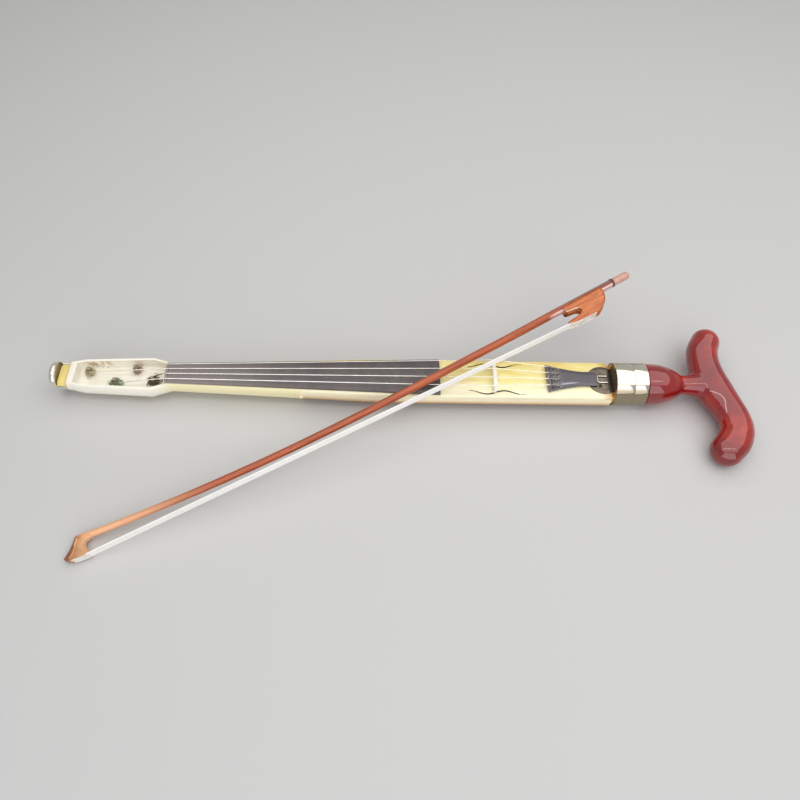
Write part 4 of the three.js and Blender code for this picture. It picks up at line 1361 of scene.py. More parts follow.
@dataclass
class Fittings:
    """The fingerboard, nut, bridge, tailpiece and the metal at the tail."""

    shop: Workshop
    cut: float = 6.3
    tail_start: float = 501.0
    tail_end: float = 552.5
    tail_half: float = 16.6
    tail_waist: float = 8.5
    tail_lift: float = 1.4
    tail_thickness: float = 3.0
    tail_camber: float = 1.6
    rest_start: float = 505.2
    rest_half: float = 12.4
    rest_top: float = 11.95
    waist_share: float = 0.75
    waist_power: float = 1.5
    ridge_share: float = 0.64
    plate_start: float = 543.0
    plate_radius: float = 16.6
    plate_end: float = 569.2
    plate_thickness: float = 1.0
    seam_station: float = 561.3
    seam_reach: float = -9.5
    seam_turn: float = -0.12
    seam_size: Point = (0.55, 17.0, 0.9)
    loop_half: float = 3.8
    loop_start: float = 553.6
    loop_end: float = 565.0
    loop_wire: float = 0.5
    screw_station: float = 555.8
    screw_reach: float = -7.2
    screw_radius: float = 1.7
    slot_size: Point = (6.0, 0.45, 1.0)
    slot_turn: float = 0.6
    hole_station: float = 513.5
    hole_spacing: float = 7.2
    hole_radius: float = 1.4

    def build(self) -> None:
        """Build every fitting on the belly."""
        shop, finishes = self.shop, self.shop.finishes
        shop.softened("fingerboard", Body.VIOLIN, finishes.ebony, "ebony", 0.35)
        shop.softened("nut", Body.VIOLIN, finishes.ebony, "ebony", 0.3)
        shop.softened("bridge", Body.VIOLIN, finishes.bridge, "pale_maple", 0.35, segments=3)
        self.string_rest()
        self.tailpiece()
        self.plate()
        self.loop()
        self.screw()

    def string_rest(self) -> None:
        """The low bar across the tailpiece that the strings rest on, rounded on top."""
        mesh = bmesh.new()
        foot, top = self.rest_top - 3.0, self.rest_top
        rings = []
        for side, trim in ((-1, 1.0), (-1, 0.3), (-1, 0.0), (1, 0.0), (1, 0.3), (1, 1.0)):
            y = side * (self.rest_half + 0.5 - trim)
            crown = top - trim * 0.8
            rings.append([
                (self.rest_start, y, foot), (self.rest_start, y, crown - 0.5),
                (self.rest_start + 0.3, y, crown - 0.1), (self.rest_start + 0.7, y, crown),
                (self.rest_start + 1.1, y, crown - 0.1), (self.rest_start + 1.4, y, crown - 0.5),
                (self.rest_start + 1.4, y, foot),
            ])
        loft(mesh, rings)
        self.shop.settle(
            mesh, "string_rest", PLACES.violin(), Body.VIOLIN,
            self.shop.finishes.tail_wood, "ebony", ("tail_saddle",), sharp=40,
        )

    def half_at(self, share: float) -> float:
        """Half the tailpiece's width at a share of its length."""
        t = min(share / self.waist_share, 1.0)
        return mix(self.tail_half, self.tail_waist, 1 - (1 - t) ** self.waist_power)

    def painted_ridge_highlight(self, point: Vector) -> float:
        """The mark along the tailpiece's near ridge, where a highlight is painted on.

        Args:
            point: a point in the stick's frame.

        Returns:
            Its mark, from 0 to 1.
        """
        share = (point.x - self.tail_start) / (self.tail_end - self.tail_start)
        if point.z < self.cut + self.tail_lift + 1.0:
            return 0.0
        off = point.y / self.half_at(share) + self.ridge_share
        along = ease((share - 0.22) / 0.1) * ease((0.72 - share) / 0.3)
        return along * max(1 - abs(off) / 0.09, 0.0)

    def tailpiece(self) -> None:
        """The hourglass tailpiece: a ridge along each side, a bevelled rim and four holes."""
        mesh = bmesh.new()
        foot = self.cut + self.tail_lift
        edge = self.tail_thickness / 2
        top = foot + edge + self.tail_camber
        rings = []
        for i in range(49):
            share = i / 48
            x = mix(self.tail_start, self.tail_end, share)
            half = self.half_at(share)
            trim = 0.4 if i in (0, 48) else 0.0
            ring = [(x, half - 0.5 - trim, foot + trim), (x, half - trim, foot + 0.4 + trim)]
            ridge = self.ridge_share
            upper = [
                (1.0, 0.0, 0.1), (0.985, 0.0, 0.4), (ridge + 0.09, 0.62, 0.0), (ridge, 0.8, 0.0),
                (ridge - 0.07, 0.86, 0.0), (0.42, 0.91, 0.0), (0.2, 0.97, 0.0), (0.0, 1.0, 0.0),
            ]
            upper += [(-s, rise, more) for s, rise, more in reversed(upper[:-1])]
            for s, rise, more in upper:
                height = mix(foot + edge - 0.5, top, rise) + more
                ring.append((x, (half - trim) * s, height - trim))
            ring += [(x, trim - half, foot + 0.4 + trim), (x, 0.5 + trim - half, foot + trim)]
            rings.append(ring)
        loft(mesh, rings)
        piece = self.shop.settle(
            mesh, "tailpiece_arched", PLACES.violin(), Body.VIOLIN,
            self.shop.finishes.tail_wood, "ebony", ("tailpiece",), sharp=34, marks=self.painted_ridge_highlight,
        )
        cutter = bmesh.new()
        x = self.hole_station
        for share in (1.5, 0.5, -0.5, -1.5):
            y = share * self.hole_spacing
            for back, radius, sides in ((0.0, self.hole_radius, 20), (4.6, 0.5, 10)):
                tube(cutter, [(x - back, y, foot - 2), (x - back, y, foot + 8)], radius, sides)
        bmesh.ops.transform(cutter, matrix=PLACES.violin(), verts=cutter.verts)
        carve(piece, cutter)

    def plate(self) -> None:
        """The round metal plate, slightly domed, with a bevelled rim and a seam across."""
        centre = self.plate_start + self.plate_radius
        cut = math.acos((self.plate_end - centre) / self.plate_radius)
        outline = []
        for i in range(49):
            turn = mix(cut, 2 * math.pi - cut, i / 48)
            outline.append((
                centre + self.plate_radius * math.cos(turn), self.plate_radius * math.sin(turn)
            ))
        mesh = bmesh.new()
        dome = ((1.0, 0.0), (1.0, 0.3), (0.98, 0.62), (0.93, 0.86), (0.6, 1.0), (0.2, 1.05))
        rings = []
        for share, rise in dome:
            z = self.cut + self.plate_thickness * rise
            rings.append([(mix(centre - 1.0, x, share), mix(0.0, y, share), z) for x, y in outline])
        loft(mesh, rings)
        piece = self.shop.settle(
            mesh, "plate_domed", PLACES.violin(), Body.VIOLIN,
            self.shop.finishes.plate_steel, "dark_steel", ("tail_plate",), sharp=25,
        )
        cutter = bmesh.new()
        bmesh.ops.create_cube(cutter, size=1.0)
        size = Matrix.Diagonal((*self.seam_size, 1.0))
        at = (self.seam_station, self.seam_reach, self.cut + self.plate_thickness)
        middle = Matrix.Translation(at) @ Matrix.Rotation(self.seam_turn, 4, "Z")
        bmesh.ops.transform(cutter, matrix=PLACES.violin() @ middle @ size, verts=cutter.verts)
        carve(piece, cutter)

    def loop(self) -> None:
        """The bright wire loop over the plate."""
        high = self.cut + self.plate_thickness + 2 * self.loop_wire + 0.3
        low = self.cut + self.plate_thickness + self.loop_wire + 0.3
        half, start, end, bend = self.loop_half, self.loop_start, self.loop_end, 1.4
        route = [
            (end, half, low), (end - bend, half, high), (mix(start, end, 0.5), half, high),
            (start + bend, half, high), (start, half - bend, high), (start, 0.0, high),
            (start, bend - half, high), (start + bend, -half, high),
            (mix(start, end, 0.5), -half, high), (end - bend, -half, high), (end, -half, low),
        ]
        mesh = bmesh.new()
        tube(mesh, joined(route, 5), self.loop_wire, 14)
        self.shop.settle(
            mesh, "loop_wire", PLACES.violin(), Body.VIOLIN,
            self.shop.finishes.ring_metal, "string_steel", ("tail_loop",),
        )

    def screw(self) -> None:
        """A dark slotted round-head screw in the plate."""
        mesh = bmesh.new()
        z, r = self.cut + self.plate_thickness, self.screw_radius
        profile = [(z, 0.0), (z, r), (z + 0.4, 0.98 * r), (z + 0.8, 0.74 * r), (z + 1.0, 0.35 * r)]
        lathe(mesh, profile + [(z + 1.0, 0.0)], 28)
        bmesh.ops.transform(mesh, matrix=Matrix.Rotation(-math.pi / 2, 4, "Y"), verts=mesh.verts)
        at = Matrix.Translation((self.screw_station, self.screw_reach, 0))
        bmesh.ops.transform(mesh, matrix=at, verts=mesh.verts)
        piece = self.shop.settle(
            mesh, "screw_slotted", PLACES.violin(), Body.VIOLIN,
            self.shop.finishes.dark_screw, "string_steel", ("tail_screw",), sharp=30,
        )
        cutter = bmesh.new()
        bmesh.ops.create_cube(cutter, size=1.0)
        size = Matrix.Diagonal((*self.slot_size, 1.0))
        middle = Matrix.Translation((self.screw_station, self.screw_reach, z + 1.15))
        middle @= Matrix.Rotation(self.slot_turn, 4, "Z")
        bmesh.ops.transform(cutter, matrix=PLACES.violin() @ middle @ size, verts=cutter.verts)
        carve(piece, cutter)


def carve(piece: bpy.types.Object, cutter: bmesh.types.BMesh) -> None:
    """Cut a shape out of a piece, in the row frame; the cutter's mesh is freed.

    Args:
        piece: the piece that is cut.
        cutter: the closed shape that is taken away.
    """
    outwards(cutter)
    data = bpy.data.meshes.new("cutter")
    cutter.to_mesh(data)
    cutter.free()
    tool = bpy.data.objects.new("cutter", data)
    bpy.context.scene.collection.objects.link(tool)
    cut = piece.modifiers.new("cut", "BOOLEAN")
    cut.operation = "DIFFERENCE"
    cut.solver = "EXACT"
    cut.use_self = True
    cut.object = tool
    applied(piece)
    bpy.data.objects.remove(tool)
    bpy.data.meshes.remove(data)


@dataclass
class Strings:
    """The four strings, their silk ends, their pins and the turns on them."""

    shop: Workshop
    radii: tuple[float, ...] = (0.34, 0.38, 0.42, 0.46)
    shares: tuple[float, ...] = (1.5, 0.5, -0.5, -1.5)
    stations: tuple[float, ...] = (86.0, 40.0, 105.0, 68.0)
    offsets: tuple[float, ...] = (10.0, 6.5, -3.5, -6.0)
    sides: tuple[int, ...] = (1, -1, 1, -1)
    silk_lengths: tuple[float, ...] = (7.0, 4.0, 12.0, 4.0)
    silk_thickness: float = 0.14
    tail_silk_length: float = 4.0
    tail_silk_thickness: float = 0.12
    ball_radius: float = 1.0
    nut_spacing: float = 5.8
    bridge_spacing: float = 10.6
    tail_spacing: float = 7.2
    nut_station: float = 118.6
    board_start: float = 121.2
    nut_top: float = 9.7
    nut_half: float = 11.3
    camber: float = 75.0
    bridge_station: float = 447.0
    bridge_top: float = 16.5
    crown: float = 2.0
    saddle: tuple[float, float] = (505.9, 12.0)
    hole_station: float = 513.5
    pin_radius: float = 2.5
    pin_foot: float = -14.0
    pin_top: float = 1.6
    head_half: float = 1.8
    head_height: float = 3.6
    coil_top: float = 0.9
    coil_turns: int = 4
    coil_steps: int = 24
    coil_pitch: float = 1.25
    loose_loops: tuple[int, ...] = (1, 2, 4, 3)
    loose_ends: tuple[int, ...] = (8, 6, 20, 15)
    tangle_reach: tuple[float, ...] = (6.4, 6.4, 8.8, 8.4)
    gap: float = 0.3

    def build(self) -> None:
        """Build each string with its pin."""
        for i in range(len(self.radii)):
            self.string(i)
            self.pin(i)
            self.coil(i)

    def route(self, i: int) -> list[Point]:
        """The points that a string runs through, from its pin to the tailpiece.

        Args:
            i: the string's number, from 0.

        Returns:
            The points, in millimetres.
        """
        r, share = self.radii[i], self.shares[i]
        spacings = (self.nut_spacing, self.bridge_spacing, self.tail_spacing)
        nut_y, bridge_y, tail_y = (share * spacing for spacing in spacings)
        lift = r + self.gap
        rise = math.sqrt(self.camber**2 - nut_y**2) - math.sqrt(self.camber**2 - self.nut_half**2)
        nut_z = self.nut_top + rise + lift
        bridge_z = self.bridge_top + lift
        coil_y = self.offsets[i] + self.sides[i] * (self.pin_radius + r + self.gap)
        saddle_x, saddle_z = self.saddle
        half = self.crown / 2
        return [
            (self.stations[i] + 2 * r, coil_y, self.coil_top + 2 * r + self.gap),
            (self.nut_station, nut_y, nut_z),
            (self.board_start, nut_y, nut_z),
            (self.bridge_station - half, bridge_y, bridge_z),
            (self.bridge_station + half, bridge_y, bridge_z),
            (saddle_x, tail_y, saddle_z + 2 * lift),
            (self.hole_station - 0.7, tail_y, saddle_z - 1.2 + lift),
            (self.hole_station + 0.75, tail_y, saddle_z - 2.7),
        ]

    def string(self, i: int) -> None:
        """One string: its wire, the silk at both ends and the ball in its hole.

        Args:
            i: the string's number, from 0.
        """
        route = self.route(i)
        mesh = bmesh.new()
        tube(mesh, route, self.radii[i], 14)
        steel = self.shop.finishes.steel
        self.shop.settle(
            mesh, f"wire_{i + 1}", PLACES.violin(), Body.VIOLIN, steel, "string_steel",
            (f"string_{i + 1}",),
        )
        first, second = Vector(route[0]), Vector(route[1])
        along = (second - first).normalized()
        silk = bmesh.new()
        cover = self.radii[i] + self.silk_thickness
        tube(silk, [first, first + along * self.silk_lengths[i]], cover, 14)
        self.shop.settle(
            silk, f"silk_of_string_{i + 1}", PLACES.violin(), Body.VIOLIN,
            self.shop.finishes.silks[i], "string_steel",
        )
        silk = bmesh.new()
        top, end = Vector(route[5]), Vector(route[6])
        back = (Vector(route[4]) - top).normalized()
        cover = self.radii[i] + self.tail_silk_thickness
        tube(silk, [top + back * self.tail_silk_length, top, end], cover, 14)
        self.shop.settle(
            silk, f"silk_at_tail_{i + 1}", PLACES.violin(), Body.VIOLIN,
            self.shop.finishes.tail_silk, "string_steel",
        )
        ball = bmesh.new()
        bmesh.ops.create_uvsphere(ball, u_segments=20, v_segments=12, radius=self.ball_radius)
        bmesh.ops.transform(ball, matrix=Matrix.Translation(route[-1]), verts=ball.verts)
        self.shop.settle(
            ball, f"ball_end_{i + 1}", PLACES.violin(), Body.VIOLIN,
            self.shop.finishes.tail_silk, "brass_fittings",
        )

    def pin(self, i: int) -> None:
        """A wrest pin: a round shank that runs up into a tapered square head.

        Args:
            i: the pin's number, from 0.
        """
        x, y = self.stations[i], self.offsets[i]
        sides = 32

        def ring(z: float, reach: float, square: float) -> list[Point]:
            """A ring that goes from a circle to a rounded square as square goes to 1.

            Args:
                z: the ring's height.
                reach: half the ring's width.
                square: how square it is, from 0 to 1.

            Returns:
                The ring's points.
            """
            points = []
            for k in range(sides):
                t = 2 * math.pi * k / sides
                c, s = math.cos(t), math.sin(t)
                box = min(1 / max(abs(c), 1e-6), 1 / max(abs(s), 1e-6), 1.3)
                out = reach * mix(1, box, square)
                points.append((x + out * c, y + out * s, z))
            return points

        top, head = self.pin_top, self.pin_top + self.head_height
        half = self.head_half
        rings = [
            ring(self.pin_foot, self.pin_radius - 0.5, 0),
            ring(self.pin_foot + 0.6, self.pin_radius, 0),
            ring(top - 0.5, self.pin_radius, 0), ring(top, self.pin_radius - 0.35, 0.3),
            ring(top + 0.3, half, 1), ring(head - 0.5, half - 0.12, 1), ring(head, half - 0.5, 0.9),
        ]
        mesh = bmesh.new()
        loft(mesh, rings)
        self.shop.settle(
            mesh, f"pin_square_{i + 1}", PLACES.violin(), PINS[i],
            self.shop.finishes.pin_steel, "dark_steel", (f"wrest_pin_{i + 1}",), sharp=30,
        )

    def coil(self, i: int) -> None:
        """The silk-covered turns round a pin, with loose loops and the string's end about them.

        Args:
            i: the pin's number, from 0.
        """
        draw = random.Random(40 + i)
        x, y, side = self.stations[i], self.offsets[i], self.sides[i]
        wire = self.radii[i]
        reach = self.pin_radius + wire + self.gap
        steps = self.coil_steps * self.coil_turns
        points = []
        for k in range(steps + 1):
            t = k / steps
            turn = side * (math.pi / 2 + t * self.coil_turns * 2 * math.pi)
            slack = 1 + 0.03 * math.sin(k * 0.37 + i) * t
            z = self.coil_top - t * self.coil_turns * self.coil_pitch + 0.08 * draw.uniform(-1, 1)
            out = reach * slack
            points.append((x + out * math.cos(turn), y + out * math.sin(turn), z))
        mesh = bmesh.new()
        tube(mesh, points, wire, 12)
        for _ in range(self.loose_loops[i]):
            self.loose_loop(mesh, i, draw)
        for _ in range(self.loose_ends[i]):
            self.loose_end(mesh, i, draw)
        self.shop.settle(
            mesh, f"turns_on_pin_{i + 1}", PLACES.violin(), PINS[i],
            self.shop.finishes.silks[i], "string_steel", (f"string_coil_{i + 1}",),
        )

    def loose_loop(self, mesh: bmesh.types.BMesh, i: int, draw: random.Random) -> None:
        """One slack turn that leans out from the pin.

        Args:
            mesh: the mesh that it is added to.
            i: the pin's number, from 0.
            draw: the source of random numbers.
        """
        x, y = self.stations[i], self.offsets[i]
        reach = self.pin_radius + 2.6 * self.radii[i] + draw.uniform(0.5, 1.1)
        lean, phase = draw.uniform(0.7, 1.5), draw.uniform(0, 2 * math.pi)
        level = draw.uniform(-2.6, -1.2)
        turns = draw.uniform(1.2, 1.9)
        points = []
        for k in range(41):
            t = phase + k / 40 * turns * 2 * math.pi
            out = reach * (1 + 0.09 * math.sin(2 * t + phase) + 0.05 * math.sin(3.3 * t))
            z = level + lean * math.sin(t - phase) + 0.3 * math.sin(2.7 * t)
            points.append((x + out * math.cos(t), y + out * math.sin(t), z))
        tube(mesh, points, self.radii[i] * 0.9, 8)

    def loose_end(self, mesh: bmesh.types.BMesh, i: int, draw: random.Random) -> None:
        """One end or kink of the string that springs away from the turns.

        Args:
            mesh: the mesh that it is added to.
            i: the pin's number, from 0.
            draw: the source of random numbers.
        """
        x, y = self.stations[i], self.offsets[i]
        angle, swing = draw.uniform(0, 2 * math.pi), draw.uniform(-1.3, 1.3)
        start = self.pin_radius + 0.5
        length = draw.uniform(0.45, 1.0) * (self.tangle_reach[i] - start)
        low, lift = draw.uniform(-4.0, -1.6), draw.uniform(-1.6, 1.2)
        points = []
        for k in range(10):
            share = k / 9
            out = start + length * math.sin(share * math.pi / 2)
            t = angle + swing * share
            z = min(low + lift * share + 0.5 * math.sin(2.4 * share + angle), -0.35)
            points.append((x + out * math.cos(t), y + out * math.sin(t), z))
        tube(mesh, points, [self.radii[i] * mix(0.95, 0.6, k / 9) for k in range(10)], 7)


@dataclass
class Handle:
    """The red handle: a rounded knob, a thin neck and the curved grip."""

    shop: Workshop
    knob_radius: float = 21.4
    knob_start: float = 602.3
    knob_straight: float = 8.0
    knob_end: float = 641.0
    knob_fullness: float = 0.7
    neck_radius: float = 10.3
    neck_station: float = 648.0
    neck_flare: float = 15.0
    grip_station: float = 680.0
    grip_swing: float = 14.0
    grip_reach: float = 71.0
    grip_radius: float = 18.6
    grip_flat: float = 0.9
    grip_shares: tuple[Point, ...] = (
        (-0.03, 0.735, 0.8),
        (-0.44, 0.563, 0.87),
        (-0.56, 0.352, 0.89),
        (-0.44, 0.113, 0.955),
        (-0.06, -0.127, 0.98),
        (0.46, -0.338, 0.88),
        (0.82, -0.535, 0.865),
        (0.84, -0.718, 0.9),
        (0.42, -0.887, 0.93),
        (-0.24, -1.02, 0.895),
    )
    voxel: float = 0.9
    smoothing: int = 30
    spigot_start: float = 570.6
    spigot_end: float = 605.7
    spigot_radius: float = 5.0
    thread_pitch: float = 1.5
    thread_end: float = 588.0

    def build(self) -> None:
        """Build the grip and the parts that hold it."""
        self.body()
        self.spigot()
        self.shop.dress("handle_socket", self.shop.finishes.brass)

    def grip(self, mesh: bmesh.types.BMesh) -> None:
        """Sweep the grip's round section along its curve, with rounded ends.

        Args:
            mesh: the mesh that it is added to.
        """
        points = [
            (self.grip_station + a * self.grip_swing, b * self.grip_reach, r * self.grip_radius)
            for a, b, r in self.grip_shares
        ]
        path = joined(points, 8)
        sides = 48

        def ring(at: Point, along: Vector, radius: float) -> list[Point]:
            """One section square to the curve.

            Args:
                at: its middle.
                along: the direction of the curve there.
                radius: its radius.

            Returns:
                The section's points.
            """
            turns = (2 * math.pi * k / sides for k in range(sides))
            return [
                (
                    at[0] - radius * math.cos(t) * along.y,
                    at[1] + radius * math.cos(t) * along.x,
                    radius * self.grip_flat * math.sin(t),
                )
                for t in turns
            ]

        tangents = []
        for i in range(len(path)):
            a, b = path[max(i - 1, 0)], path[min(i + 1, len(path) - 1)]
            tangents.append(Vector((b[0] - a[0], b[1] - a[1])).normalized())
        rings = []
        caps = 12
        for end, order in ((0, range(caps - 1, 0, -1)), (len(path) - 1, range(1, caps))):
            along, (px, py, pr) = tangents[end], path[end]
            cap = []
            for k in order:
                turn = k / caps * math.pi / 2
                step = pr * math.sin(turn) * (-1 if end == 0 else 1)
                middle = (px + along.x * step, py + along.y * step)
                cap.append(ring(middle, along, pr * math.cos(turn)))
            if end == 0:
                rings = cap + [ring(p, t, p[2]) for p, t in zip(path, tangents)]
            else:
                rings += cap
        loft(mesh, rings)

    def stem(self, mesh: bmesh.types.BMesh) -> None:
        """Turn the knob, the neck and the flare that runs into the grip.

        Args:
            mesh: the mesh that it is added to.
        """
        start = self.knob_start + self.knob_straight
        profile = [(self.knob_start, 0.0), (self.knob_start, self.knob_radius)]
        for k in range(25):
            t = k / 24
            round_off = max(math.cos(t * math.pi / 2), 0) ** self.knob_fullness
            reach = mix(self.neck_radius, self.knob_radius, round_off)
            profile.append((mix(start, self.knob_end, t), reach))
        neck, thin = self.neck_station, self.neck_radius
        flare = neck + self.neck_flare
        profile += [
            (neck, thin), (mix(neck, flare, 0.5), thin + 0.9), (flare - 2, thin + 2.1),
            (flare + 2, thin + 2.7), (flare + 5, thin + 2.2), (flare + 11, thin - 2.5),
            (flare + 11, 0.0),
        ]
        lathe(mesh, profile, 96)

    def body(self) -> None:
        """Join the knob and the grip into one smooth lacquered body."""
        mesh = bmesh.new()
        self.stem(mesh)
        self.grip(mesh)
        piece = self.shop.settle(
            mesh, "handle_lacquered", PLACES.handle(), Body.HANDLE,
            self.shop.finishes.lacquer, "red_lacquer", ("handle_grip",), sharp=180,
        )
        remesh = piece.modifiers.new("join", "REMESH")
        remesh.mode = "VOXEL"
        remesh.voxel_size = self.voxel * MM
        remesh.use_smooth_shade = True
        smooth = piece.modifiers.new("smooth", "SMOOTH")
        smooth.factor = 0.5
        smooth.iterations = self.smoothing
        applied(piece)

    def spigot(self) -> None:
        """The brass spigot, threaded for the part that enters the body."""
        mesh = bmesh.new()
        start, end = self.spigot_start, self.spigot_end
        radius, pitch = self.spigot_radius, self.thread_pitch
        profile = [(start, 0.0), (start, radius - 0.7)]
        x = start + 0.4
        while x < self.thread_end:
            profile += [(x, radius - 0.5), (x + pitch / 2, radius)]
            x += pitch
        profile += [(x, radius - 0.5), (end, radius - 0.5), (end, 0.0)]
        lathe(mesh, profile, 48)
        self.shop.settle(
            mesh, "spigot_threaded", PLACES.handle(), Body.HANDLE,
            self.shop.finishes.brass, "brass_fittings", ("handle_spigot",), sharp=30,
        )


@dataclass
class Bow:
    """The bow: stick, head, frog, hair and button, in the bow's own frame."""

    shop: Workshop
    length: float = 576.0
    stick_rise: float = 24.5
    stick_shares: tuple[Pair, ...] = (
        (0.012, 0.745), (0.07, 0.622), (0.13, 0.53), (0.2, 0.448), (0.305, 0.385),
        (0.415, 0.395), (0.52, 0.462), (0.625, 0.555), (0.72, 0.653), (0.79, 0.733),
        (0.865, 0.832), (0.935, 0.914), (1.0, 1.0),
    )
    tip_radius: float = 3.3
    butt_radius: float = 4.3
    straight: float = 86.0
    lit_facets: Pair = (135.0, 180.0)
    lit_spread: float = 18.0
    lit_start: float = 494.0
    head_half: float = 4.5
    beak: float = 17.5
    head_rise: float = 23.0
    frog_start: float = 509.0
    frog_length: float = 50.0
    frog_half: float = 5.5
    frog_shares: tuple[Pair, ...] = (
        (0.03, 0.56), (0.03, 0.885), (1.0, 1.0), (0.99, 0.7), (0.95, 0.46), (0.86, 0.22),
        (0.72, 0.02), (0.6, -0.058), (0.08, -0.058), (-0.07, 0.03), (-0.07, 0.09), (0.17, 0.18),
        (0.29, 0.27), (0.335, 0.375), (0.31, 0.47), (0.24, 0.53),
    )
    hair_start: float = 5.2
    hair_end: float = 508.7
    hair_half: float = 4.3
    hair_thickness: float = 1.0
    strands: int = 120
    button_length: float = 20.0
    button_radius: float = 4.4
    screw_radius: float = 1.2

    def build(self) -> None:
        """Build the bow from its stick to its button."""
        self.stick_line = joined(
            [(x * self.length, y * self.stick_rise) for x, y in self.stick_shares], 6
        )
        self.stick()
        self.head()
        self.tip_plate()
        self.frog()
        self.slide_plate()
        self.hair()
        self.button()
        self.butt_ring()
        self.shop.dress("bow_eyelet", self.shop.finishes.brass)
        self.shop.dress("bow_screw", self.shop.finishes.steel)

    def stick_at(self, x: float) -> float:
        """Height of the stick's middle over the hair at a station.

        Args:
            x: the station along the hair.

        Returns:
            The height in millimetres.
        """
        for (x0, y0), (x1, y1) in zip(self.stick_line, self.stick_line[1:]):
            if x0 <= x <= x1:
                return mix(y0, y1, (x - x0) / (x1 - x0))
        return self.stick_line[-1][1] if x > self.stick_line[-1][0] else self.stick_line[0][1]

    def butt_slope(self) -> float:
        """How steeply the straight end of the stick rises."""
        rise = self.stick_at(self.length) - self.stick_at(self.length - self.straight)
        return rise / self.straight

    def butt_axis(self, x: float) -> float:
        """Height of the straight butt's axis at a station."""
        return self.stick_at(self.length) - (self.length - x) * self.butt_slope()

    def painted_facet_highlight(self, point: Vector) -> float:
        """The mark on the two facets of the butt that face the player, where a highlight is painted
        on.

        Args:
            point: a point in the bow's frame.

        Returns:
            Its mark, from 0 to 1.
        """
        turn = math.degrees(math.atan2(point.z, point.y - self.stick_at(point.x))) % 360
        off = min(abs(turn - facet) for facet in self.lit_facets)
        return ease((point.x - self.lit_start) / 6) if off < self.lit_spread else 0.0

    def stick(self) -> None:
        """The stick: round, tapered, and eight-sided where the frog rides."""
        sides = 32
        rings = []
        line = [(-1.5, 18.2), (3.0, 18.3)] + self.stick_line
        swell = [0.4, 0.8] + [1.0] * len(self.stick_line)
        for i, (x, y) in enumerate(line):
            share = max(i - 2, 0) / (len(line) - 3)
            radius = mix(self.tip_radius, self.butt_radius, ease(share)) * swell[i]
            facet = ease((x - self.frog_start + 14) / 12)
            before = line[max(i - 1, 0)]
            after = line[min(i + 1, len(line) - 1)]
            along = Vector((after[0] - before[0], after[1] - before[1])).normalized()
            ring = []
            for k in range(sides):
                t = 2 * math.pi * k / sides
                corner = (t + math.pi / 8) % (math.pi / 4) - math.pi / 8
                eight = math.cos(math.pi / 8) / math.cos(corner) * 1.03
                reach = radius * mix(1, eight, facet)
                out, side = reach * math.cos(t), reach * math.sin(t)
                ring.append((x - out * along.y, y + out * along.x, side))
            rings.append(ring)
        mesh = bmesh.new()
        loft(mesh, rings)
        self.shop.settle(
            mesh, "stick_shaft", PLACES.bow(), Body.BOW, self.shop.finishes.bow_wood, "bow_wood",
            ("bow_stick",), sharp=30, marks=self.painted_facet_highlight,
        )

    def head(self) -> None:
        """The hatchet head: a long beak, a front bevelled to a ridge, and a round throat."""
        foot = [
            (-19.0, 6.3), (-17.8, 3.9), (-14.8, 1.6), (-11.4, 0.4), (-10.6, 1.0), (-5.0, 0.35),
            (3.0, 0.1),
        ]
        throat = joined([
            (4.6, 1.4), (3.4, 3.6), (1.5, 7.0), (0.9, 10.2), (1.9, 12.9), (4.6, 14.4), (9.5, 15.2),
        ], 4)
        crown = [(9.5, 20.4), (6.0, 21.3), (1.0, 21.95), (-3.2, 22.0)]
        front = joined([(-4.9, 21.3), (-8.0, 16.9), (-10.8, 13.3), (-13.4, 10.6), (-16.6, 8.2)], 3)
        outline = foot + throat + crown + front
        insets = [0.5] * len(foot) + [0.7] * len(throat) + [1.9] * len(crown)
        insets += [mix(3.6, 5.0, ease(k / (len(front) - 1))) for k in range(len(front))]
        insets[0] = 2.4
        insets[1] = 1.2

        def half(x: float, y: float) -> float:
            """Half the head's thickness, less towards the crown and the beak."""
            thin = mix(1, 0.74, min(max(y / self.head_rise, 0), 1))
            return self.head_half * thin * mix(1, 0.5, min(max((-x - 6.1) / 11.4, 0), 1))

        def painted_front_shade(point: Vector) -> float:
            """The mark on the bevelled front, where a darker shade is painted on."""
            ahead = point.x < mix(-12.5, -2.2, point.y / 21.5)
            return 1.0 if ahead and abs(point.z) < 0.985 * half(point.x, point.y) else 0.0

        mesh = bmesh.new()
        pillow(mesh, outline, half, insets, ((1.0, 1.0), (0.92, 0.97), (0.45, 0.82), (0.0, 0.5)))
        self.shop.settle(
            mesh, "head_hatchet", PLACES.bow(), Body.BOW, self.shop.finishes.head_wood, "bow_wood",
            ("bow_stick",), sharp=24, marks=painted_front_shade,
        )

    def tip_plate(self) -> None:
        """The thin pale plate under the head."""
        b = self.beak
        top = [(-11.2, 1.0), (-8.5, 0.7), (-5.0, 0.35), (-2.0, 0.25), (2.6, 0.15)]
        outline = [(x, y - 0.2) for x, y in top] + [(x, y - 1.15) for x, y in reversed(top)]

        def half(x: float, _y: float) -> float:
            """Half the plate's width, less towards the beak."""
            return 4.2 * mix(1, 0.5, min(max((-x - 0.35 * b) / (0.65 * b), 0), 1))

        mesh = bmesh.new()
        pillow(mesh, outline, half, [0.15] * len(outline), ((1.0, 1.0), (0.0, 0.94)))
        self.shop.settle(
            mesh, "tip_plate_shaped", PLACES.bow(), Body.BOW, self.shop.finishes.ivory,
            "ivory_plate", ("bow_tip_plate",), sharp=30,
        )

